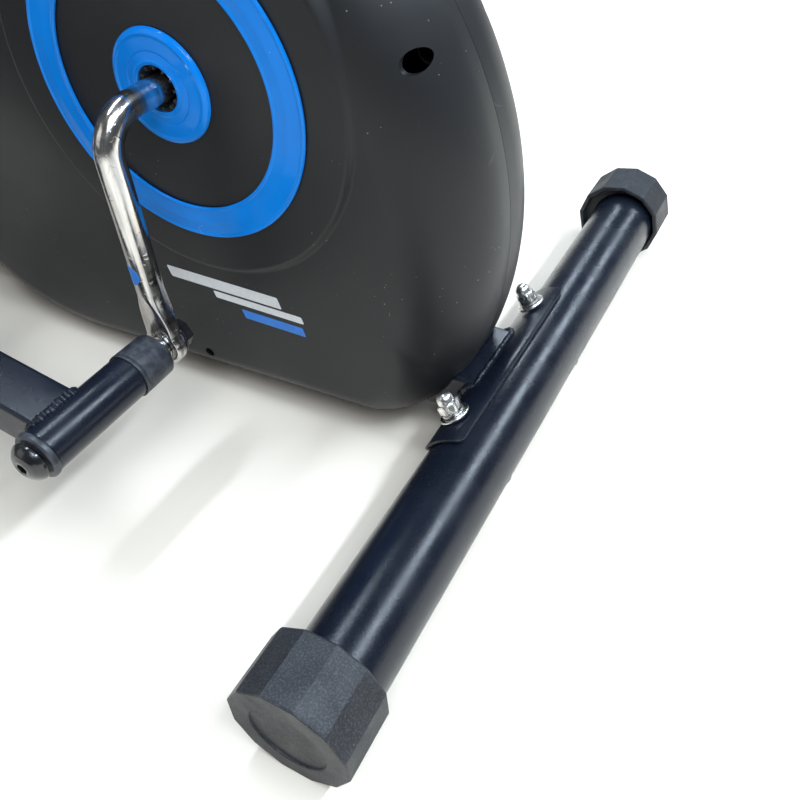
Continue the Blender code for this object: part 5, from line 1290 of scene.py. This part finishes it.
def keel_welds():
    """A lumpy bead over the top and down both sides of each end of the keel."""
    low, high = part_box("keel_tube")
    half = high.y
    bead = Shape()
    radius = KEEL_COPE + 0.0002
    for number, (centre, forward) in enumerate(((REAR, 1), (FRONT, -1))):
        top = math.asin((high.z - centre.z) / radius)
        bottom = math.asin((low.z + 0.001 - centre.z) / radius)

        def spot(angle, y):
            return centre + Vector((forward * radius * math.cos(angle), y, radius * math.sin(angle)))

        weld_bead(bead, [spot(top, -half), spot(top, half)], 0.0017, 11.0 + number)
        for sign in (-1, 1):
            turns = [top + (bottom - top) * step / 10 for step in range(11)]
            line = [spot(turn, sign * (half + 0.0004)) for turn in turns]
            weld_bead(bead, line, 0.0030, 20.0 + number + sign, 0.0042)
    piece("keel_welds", bead, "weld", "frame")


# ---- Front post and what it carries ----------------------------------------------------------
POST_LEAN = math.radians(5.0)
POST, STUB = 0.0270, 0.0300
POST_FOOT = SWING.x + (SWING.z - KEEL_TOP) * math.tan(POST_LEAN)
POST_AXIS = Vector((-math.sin(POST_LEAN), 0, math.cos(POST_LEAN)))
CROSS, AXLE_BORE = 0.0160, 0.0084
PINCH_HEIGHTS = (0.30, 0.35)


def post_point(height):
    """The point on the post's axis at a height above the floor."""
    return Vector((POST_FOOT - (height - KEEL_TOP) * math.tan(POST_LEAN), 0, height))


def post():
    """The leaning post and the short stub that it stands in."""
    stub_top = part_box("post_stub")[1].z - STUB * math.sin(POST_LEAN)
    length = (stub_top - KEEL_TOP) / math.cos(POST_LEAN)
    inner, below = POST + 0.0006, -0.0080
    profile = [(inner, below), (STUB, below), (STUB, length), (inner, length)]
    stub = fine("post_stub", Shape().ring(profile, 0.0006, post_point(KEEL_TOP), POST_AXIS), "paint")
    reach = 0.1
    cut(stub, Shape().block((POST_FOOT - reach, -reach, -0.05),
                            (POST_FOOT + reach, reach, KEEL_TOP + GAP / 2), 0.001))
    low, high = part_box("front_post")
    drop = POST * math.sin(POST_LEAN)
    mast = rod(Shape(), post_point(low.z + drop), post_point(high.z - drop), POST, 0.0006, LARGE)
    fine("front_post", mast, "paint")


def cross_tube():
    """The short tube through the post that carries the swing axle."""
    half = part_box("front_post")[1].y
    profile = [(AXLE_BORE, -half), (CROSS, -half), (CROSS, half), (AXLE_BORE, half)]
    shape = Shape().ring(profile, 0.0006, SWING, Y, MEDIUM)
    piece("cross_tube", shape, "paint", BODY["front_post"])


def post_welds():
    """The beads round both sides of the cross tube and round the foot of the stub."""
    bead = Shape()
    for number, sign in enumerate((-1, 1)):

        def joint(turn):
            x = CROSS * math.cos(turn)
            shift = POST_AXIS.x * math.sin(turn) * CROSS
            y = math.sqrt(POST ** 2 - min(abs(x - shift), POST * 0.98) ** 2)
            return SWING + Vector((x, sign * (y + 0.0004), CROSS * math.sin(turn)))

        weld_ring(bead, joint, 0.0024, 31.0 + number)

    def foot(turn):
        return post_point(KEEL_TOP) + Vector((STUB * math.cos(turn) * 1.004, STUB * math.sin(turn), 0.0006))

    weld_ring(bead, foot, 0.0028, 40.0, 60)
    piece("post_welds", bead, "weld", "frame")


def pinch_bolts():
    """The two hexagon bolts that clamp the post in its stub, each on a washer."""
    shape = Shape()
    face = STUB + 0.0010
    for height in PINCH_HEIGHTS:
        spot = post_point(height)
        washer = [(TINY, STUB - 0.002), (0.0085, STUB - 0.001), (0.0085, face), (0.0066, face)]
        shape.turn(eased(washer, 0.0004), spot, -X, SMALL)
        hexagon = [(0.0066, face), (0.0075, face + 0.0006), (0.0075, face + 0.0040),
                   (0.0062, face + 0.0052), (TINY, face + 0.0052)]
        shape.turn(hexagon, spot, -X, flats=0.0065)
    piece("post_pinch_bolts", shape, "zinc", "frame")


def swing_axle():
    """The axle through the cross tube, with a domed cap on each end."""
    low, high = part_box("swing_axle")
    half, radius = high.y, (high.z - low.z) / 2
    face = half - 0.0070
    one_end = [(0.0080, face), (radius - 0.0006, face), (radius, face + 0.0012),
               (radius - 0.0016, face + 0.0034), (radius * 0.72, face + 0.0058),
               (radius * 0.40, face + 0.0068), (TINY, half)]
    profile = [(reach, -height) for reach, height in reversed(one_end)] + one_end
    fine("swing_axle", Shape().turn(eased(profile, 0.0010), SWING, Y), "zinc")


SWING_PLANE, SWING_TUBE, SWING_HUB, SWING_HUB_HALF = 0.1460, 0.0160, 0.0200, 0.0230
SWING_EYE, LINK_BORE = 0.0190, 0.0053
HANDLE = 0.0150
GRIP_WALL, GRIP_END = 0.0040, 0.0030


def swing_arm(side):
    """Lower tube of a moving arm, with its hub and foot eye."""
    top, foot = SWING + out(side) * SWING_PLANE, LINK[side] + out(side) * SWING_PLANE
    along = (foot - top).normalized()
    arm = rod(Shape(), top + along * 0.006, foot - along * 0.006, SWING_TUBE, 0.0006, LARGE)
    fine("swing_arm_" + side, arm, "paint")
    hub = Shape()
    for centre, bore, radius, half, ease in (
            (top, AXLE_BORE, SWING_HUB, SWING_HUB_HALF, 0.0010),
            (foot, LINK_BORE, SWING_EYE, SWING_TUBE + 0.0005, 0.0016)):
        profile = [(bore, -half), (radius, -half), (radius, half), (bore, half)]
        hub.ring(profile, ease, centre, out(side))
    piece("swing_hubs_" + side, hub, "paint", BODY["swing_arm_" + side])


def swing_welds(side):
    """The beads round the arm's tube at its hub and at its foot eye."""
    top, foot = SWING + out(side) * SWING_PLANE, LINK[side] + out(side) * SWING_PLANE
    along = (foot - top).normalized()
    side_way = along.cross(Y)
    bead = Shape()
    for seed, (centre, reach, sign) in enumerate(((top, SWING_HUB, 1), (foot, SWING_EYE, -1))):

        def joint(turn):
            across = side_way * math.cos(turn) * SWING_TUBE
            depth = math.sqrt(max(reach ** 2 - (math.cos(turn) * SWING_TUBE) ** 2, 0.0))
            return centre + across + Y * math.sin(turn) * SWING_TUBE + along * sign * depth

        weld_ring(bead, joint, 0.0024, 50.0 + seed)
    piece("swing_welds_" + side, bead, "weld", BODY["swing_arm_" + side])


def handle_line(side):
    """The handle's axis, from its socket on the hub up to its end."""
    corners = [(0.0, SWING_PLANE, SWING_HUB + GAP), (0.0, SWING_PLANE, 0.0900), (-0.0350, 0.2250, 0.2350),
               (-0.1050, 0.2350, 0.4600), (-0.0850, 0.2350, 0.6900)]
    path = rounded_path(corners, 0.0900, 14)
    return [SWING + Vector((point.x, SIDES[side] * point.y, point.z)) for point in path]


def grip(node, end, before, length, radius):
    """A foam grip on a bar's end: crowned sleeve with a rounded mouth and a closed, rounded end."""
    line = (end - before).normalized()
    inner, outer = radius + GAP, radius + GRIP_WALL
    crown = outer + 0.0003
    profile = [(inner, 0.0002), (outer - 0.0008, 0.0), (outer, 0.0014), (crown, length * 0.3),
               (crown, length * 0.7), (outer, length - 0.0030), (outer - 0.0016, length + 0.0012),
               (outer - 0.0060, length + GRIP_END), (TINY, length + GRIP_END)]
    rings = [(inner, 0.0040)] + eased(profile, 0.0016)
    shape = Shape().turn(rings, end - line * (length - GRIP_END), line, MEDIUM, start=X)
    fine(node, shape, "foam")


def swing_handle(side):
    """The bent upper handle with its foam grip, and the bead round its socket."""
    path = handle_line(side)
    fine("swing_handle_" + side, tube(Shape(), split(path, 0.02), circle(HANDLE, 64), X), "paint")
    grip("handle_grip_" + side, path[-1], path[-2], 0.2100, HANDLE)
    base = SWING + out(side) * SWING_PLANE

    def joint(turn):
        x, y = HANDLE * math.cos(turn), HANDLE * math.sin(turn)
        return base + Vector((x, y, math.sqrt(SWING_HUB ** 2 - x ** 2) + 0.0010))

    bead = weld_ring(Shape(), joint, 0.0022, 60.0)
    piece("handle_weld_" + side, bead, "weld", BODY["swing_arm_" + side])


BAR_FIXED, BAR_FIXED_Z = 0.0125, 1.0900


def fixed_handlebar():
    """The fixed bar behind the post and its foam grips."""
    centre = bar_centre()
    half = [(0.0, 0.1200, 0.0), (-0.0600, 0.1850, 0.0250), (-0.2300, 0.1850, 0.0900)]
    corners = [Vector((x, -y, z)) for x, y, z in reversed(half)] + [Vector(point) for point in half]
    path = [centre + point for point in rounded_path(corners, 0.0450, 14)]
    fine("fixed_handlebar", tube(Shape(), split(path, 0.015), circle(BAR_FIXED, 64), Z), "paint")
    grip("fixed_grip_left", path[-1], path[-2], 0.1250, BAR_FIXED)
    grip("fixed_grip_right", path[0], path[1], 0.1250, BAR_FIXED)


def bar_centre():
    """The middle of the fixed bar, just behind the post."""
    return post_point(BAR_FIXED_Z) - X * (POST + BAR_FIXED + 0.006)


def handlebar_clamp():
    """The two-part clamp round the post and the bar, with four screws."""
    centre = bar_centre()
    half_y, half_z, back, front, slot = 0.0280, 0.0240, -0.0240, 0.0430, 0.0010
    clamp = Shape()
    for start, end in ((back, -slot), (slot, front)):
        clamp.block(centre + Vector((start, -half_y, -half_z)),
                    centre + Vector((end, half_y, half_z)), 0.0030, steps=5)
    body = piece("handlebar_clamp", clamp, "paint", BODY["fixed_handlebar"])
    low, high = post_point(BAR_FIXED_Z - 0.1), post_point(BAR_FIXED_Z + 0.1)
    cut(body, rod(Shape(), low, high, POST + 2 * GAP, RIM, LARGE))
    head = [(TINY, -0.0010), (0.0045, -0.0010), (0.0045, 0.0022), (0.0038, 0.0034), (0.0028, 0.0034)]
    head = eased(head, 0.0005)
    head += [(0.0023, 0.0033, 6), (0.0023, 0.0010, 6), (TINY, 0.0008)]
    screws = Shape()
    for y in (-0.0190, 0.0190):
        for z in (-0.0175, 0.0175):
            screws.turn(head, centre + Vector((back, y, z)), -X, SMALL)
    piece("clamp_screws", screws, "black", BODY["fixed_handlebar"])


# ---- Console, knob ---------------------------------------------------------------------------
CONSOLE_TILT = math.radians(35.0)
CONSOLE_LENGTH, CONSOLE_WIDTH, CONSOLE_DEPTH = 0.1250, 0.1900, 0.0320
POST_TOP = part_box("front_post")[1].z - POST * math.sin(POST_LEAN)


WINDOW_LOW, WINDOW_HIGH = Vector((-0.0100, -0.0600, -0.0040)), Vector((0.0450, 0.0600, 0.0200))
BUTTON_X, BUTTON_WELL = -0.0380, 0.0120


def console_place():
    """The console's own frame: x up along its tilted face, z out of the face."""
    origin = post_point(POST_TOP) + Vector((-0.0200, 0, 0.0560))
    return Matrix.Translation(origin) @ Matrix.Rotation(-CONSOLE_TILT, 4, "Y")


def console():
    """The crowned body of the computer with its window frame and button well, and the neck below."""
    place = console_place()
    half_x, half_y = CONSOLE_LENGTH / 2, CONSOLE_WIDTH / 2
    levels = [(0.0160, -CONSOLE_DEPTH), (0.0060, -CONSOLE_DEPTH + 0.0010), (0.0020, -CONSOLE_DEPTH + 0.0050),
              (0.0004, -0.0150), (0.0, -0.0090), (0.0, -0.0060), (0.0008, -0.0030), (0.0028, -0.0009),
              (0.0060, 0.0), (0.0120, 0.0)]
    loops = []
    for inset, height in levels:
        outline = rounded_outline(-half_x + inset, -half_y + inset, half_x - inset, half_y - inset,
                                  max(0.0200 - inset * 0.6, 0.008), 12)
        loops.append([place @ Vector((x, y, height)) for x, y in outline])
    result = fine("console_body", Shape().loops(loops), "casing")
    cut(result, Shape().block(WINDOW_LOW, WINDOW_HIGH, 0.0020, place))
    low, high = place @ Vector((BUTTON_X, 0, -0.0070)), place @ Vector((BUTTON_X, 0, 0.02))
    cut(result, rod(Shape(), low, high, BUTTON_WELL, RIM, LARGE))
    neck = rod(Shape(), post_point(POST_TOP + GAP), post_point(POST_TOP + 0.0500), 0.0250, 0.0010, LARGE)
    piece("console_neck", neck, "casing", BODY["console_body"])


def screen_window():
    """The display window and the dark bars that it shows."""
    place = console_place()
    gap = Vector((GAP, GAP, GAP))
    top = Vector((WINDOW_HIGH.x - GAP, WINDOW_HIGH.y - GAP, -0.0008))
    fine("console_screen", Shape().block(WINDOW_LOW + gap, top, 0.0010, place), "screen")
    bars = Shape()
    for column in range(4):
        y = -0.0450 + 0.0300 * column
        for row in range(3 - (column % 2)):
            x = 0.0030 + 0.0120 * row
            bars.block((x, y - 0.0100, -0.0009), (x + 0.0060, y + 0.0100, -0.0006), 0.0001, place, 2)
    piece("screen_segments", bars, "black", BODY["console_body"])


def press_button():
    """The round, slightly dished button."""
    place = console_place()
    profile = [(0.0115, -0.0052), (0.0115, 0.0012), (0.0105, 0.0024), (0.0088, 0.0030), (0.0070, 0.0024),
               (0.0030, 0.0021), (TINY, 0.0020)]
    rings = [(TINY, -0.0052)] + eased(profile, 0.0010)
    origin, axis = place @ Vector((BUTTON_X, 0, 0)), place.to_3x3() @ Z
    fine("console_button", Shape().turn(rings, origin, axis, MEDIUM, start=Y), "button")


KNOB_Z, KNOB_FLUTES, FLUTE_DEPTH = 0.9800, 16, 0.0016


def tension_knob():
    """The resistance knob: a fluted grip with a dished face and a pointer."""
    axis = -Vector((math.cos(POST_LEAN), 0, math.sin(POST_LEAN)))
    origin = post_point(KNOB_Z) + axis * (POST - 0.003)
    other = axis.cross(Y)
    steps = KNOB_FLUTES * 12
    rings = [(0.0200, 0.0040, 0), (0.0232, 0.0042, 0), (0.0240, 0.0060, 0), (0.0240, 0.0090, 0),
             (0.0236, 0.0110, 1), (0.0232, 0.0200, 1), (0.0228, 0.0310, 1), (0.0222, 0.0350, 0.6),
             (0.0206, 0.0374, 0.2), (0.0185, 0.0380, 0), (0.0160, 0.0372, 0), (0.0080, 0.0364, 0),
             (0.0004, 0.0362, 0)]
    loops = []
    for radius, height, depth in rings:
        loop = []
        for step in range(steps):
            angle = math.tau * step / steps
            reach = radius - FLUTE_DEPTH * depth * (0.5 - 0.5 * math.cos(angle * KNOB_FLUTES)) ** 2
            loop.append(origin + (Y * math.cos(angle) + other * math.sin(angle)) * reach + axis * height)
        loops.append(loop)
    fine("tension_knob", Shape().loops(loops), "cap")
    turn = Matrix((Y, other, axis)).transposed().to_4x4()
    place = Matrix.Translation(origin) @ turn
    pointer = Shape().block((0.0070, -0.0009, 0.0360), (0.0165, 0.0009, 0.0381), 0.0004, place, 2)
    piece("knob_pointer", pointer, "white", "tension_knob")


# ---- Printed stripes on the casing -----------------------------------------------------------
STRIPES = (("white", 0.1380, 0.2280, 0.1000, 0.0042), ("white", 0.1220, 0.1920, 0.0915, 0.0026),
           ("azure", 0.1220, 0.1700, 0.0820, 0.0034))        # look, start, end, height, half width


def stripes(side):
    """Plain slanted stripes that stand for the maker's print: no letters, no mark."""
    sign = SIDES[side]
    for number, (look, first, last, height, thick) in enumerate(STRIPES):
        slant = thick * 0.6
        outline = eased([(first, height - thick), (last, height - thick), (last + slant, height + thick),
                         (first + slant, height + thick)], 0.0012, True, 3)
        centre = (first + last) / 2
        loops = []
        for scale, depth in ((1.0, -0.0006), (1.0, 0.00006), (0.999, 0.00010)):
            loops.append([Vector((REAR.x + centre + (x - centre) * scale, sign * (CASE_HALF + depth),
                                  height + (z - height) * scale)) for x, z in outline])
        shape = Shape().loops(loops if sign < 0 else loops[::-1])
        piece(f"{side}_stripe_{number}", shape, look, "frame")


# ---- Build -----------------------------------------------------------------------------------
CARRIED = {
    "paint": ["crank_housing", "flywheel_fork", "magnet_bracket"],
    "zinc": ["crank_bearing_left", "crank_bearing_right", "flywheel_axle"],
    "cap": ["drive_pulley"], "iron": ["flywheel"], "rubber": ["drive_belt"],
}
for look_name, carried in CARRIED.items():
    for node_name in carried:
        slots = frame["nodes"][node_name].data.materials
        for index in range(len(slots)):
            slots[index] = LOOKS[look_name].material

for side_name in SIDES:
    casing(side_name)
    trims(side_name)
    hub_guard(side_name)
    stripes(side_name)
    crank_bolt(side_name)
    crank_spacer(side_name)
    pedal_bar(side_name)
    bar_welds(side_name)
    bushes(side_name)
    foot_plate(side_name)
    link_bolt(side_name)
    swing_arm(side_name)
    swing_welds(side_name)
    swing_handle(side_name)
    front_lug(side_name)
    transport_wheel(side_name)
crank()
sticker()
for end_name, end_at, facing in (("rear", REAR, 1), ("front", FRONT, -1)):
    stabiliser(end_name + "_stabiliser", end_at)
    saddle(end_name + "_saddle", end_at, facing)
    for side_name in SIDES:
        stabiliser_bolt(f"{end_name}_bolt_{side_name}", end_at, facing)
        cap(f"{end_name}_cap_{side_name}", end_at)
keel()
keel_welds()
post()
cross_tube()
post_welds()
pinch_bolts()
swing_axle()
fixed_handlebar()
handlebar_clamp()
console()
screen_window()
press_button()
tension_knob()


# ---- Floor, light and camera -----------------------------------------------------------------
def floor():
    """A large pale floor, wide enough to fill the picture from every side."""
    look = Look("pale_floor", "", (0.90, 0.80, 0.68), 0.8)
    look.colour(look.blend(look.noise(3.0, 3.0), (0.89, 0.79, 0.67), (0.91, 0.81, 0.69)))
    look.uneven(20.0, 3.0, 0.52, 0.68)
    mesh = bpy.data.meshes.new("floor")
    reach = 30.0
    mesh.from_pydata([(-reach, -reach, 0), (reach, -reach, 0), (reach, reach, 0), (-reach, reach, 0)], [],
                     [(0, 1, 2, 3)])
    mesh.materials.append(look.material)
    result = bpy.data.objects.new("floor", mesh)
    bpy.context.scene.collection.objects.link(result)


def area_light(name, place, target, size, power, colour):
    """A rectangular light of a size, aimed at a target."""
    light = bpy.data.lights.new(name, "AREA")
    light.shape = "RECTANGLE"
    light.size, light.size_y = size
    light.energy = power
    light.color = colour
    result = bpy.data.objects.new(name, light)
    result.location = place
    result.rotation_euler = (Vector(target) - Vector(place)).to_track_quat("-Z", "Y").to_euler()
    bpy.context.scene.collection.objects.link(result)


STRIP_Y = -1.6                  # the strips reach far to the right, where the tube mirrors them
STRIP_SIZE, STRIP_COLOUR = (4.6, 0.16), (0.74, 0.87, 1.0)


def lights():
    """A cool key light, two long strips that streak the tube, and a weak warm fill."""
    world = bpy.data.worlds.new("studio")
    bpy.context.scene.world = world
    world.use_nodes = True
    background = world.node_tree.nodes["Background"]
    background.inputs["Color"].default_value = (0.86, 0.92, 1.0, 1.0)
    background.inputs["Strength"].default_value = 0.14
    bpy.context.scene.view_settings.view_transform = "Standard"
    area_light("key", (-1.5, 1.2, 2.4), (-0.4, 0.0, 0.1), (1.4, 1.4), 54.0, (0.80, 0.90, 1.0))
    across = Vector((REAR.x, STRIP_Y, 0.0))
    area_light("strip_rear", (-2.05, STRIP_Y, 2.10), across, STRIP_SIZE, 135.0, STRIP_COLOUR)
    area_light("strip_front", (0.33, STRIP_Y, 2.30), across, STRIP_SIZE, 95.0, STRIP_COLOUR)
    area_light("fill", (1.6, 2.4, 1.6), (0.0, 0.0, 0.4), (1.8, 1.8), 9.0, (1.0, 0.97, 0.93))


CAMERA_AT = Vector((REAR.x - 0.1526, 0.3813, 0.4196))
CAMERA_RIGHT = Vector((-0.88660, -0.46086, -0.03931))
CAMERA_DOWN = Vector((-0.26228, 0.57093, -0.77798))
CAMERA_AHEAD = Vector((0.38098, -0.67945, -0.62706))


def camera():
    """The camera behind the machine's left rear corner, looking down at the stabiliser."""
    data = bpy.data.cameras.new("camera")
    data.sensor_width = 36.0
    data.lens = 37.99
    data.shift_x = -0.0415
    data.shift_y = -0.0947
    data.clip_start = 0.01
    result = bpy.data.objects.new("camera", data)
    columns = (CAMERA_RIGHT, -CAMERA_DOWN, -CAMERA_AHEAD)
    turn = Matrix([[column[row] for column in columns] for row in range(3)])
    result.matrix_world = Matrix.Translation(CAMERA_AT) @ turn.to_4x4()
    bpy.context.scene.collection.objects.link(result)
    bpy.context.scene.camera = result


floor()
lights()
camera()

bpy.context.view_layer.update()
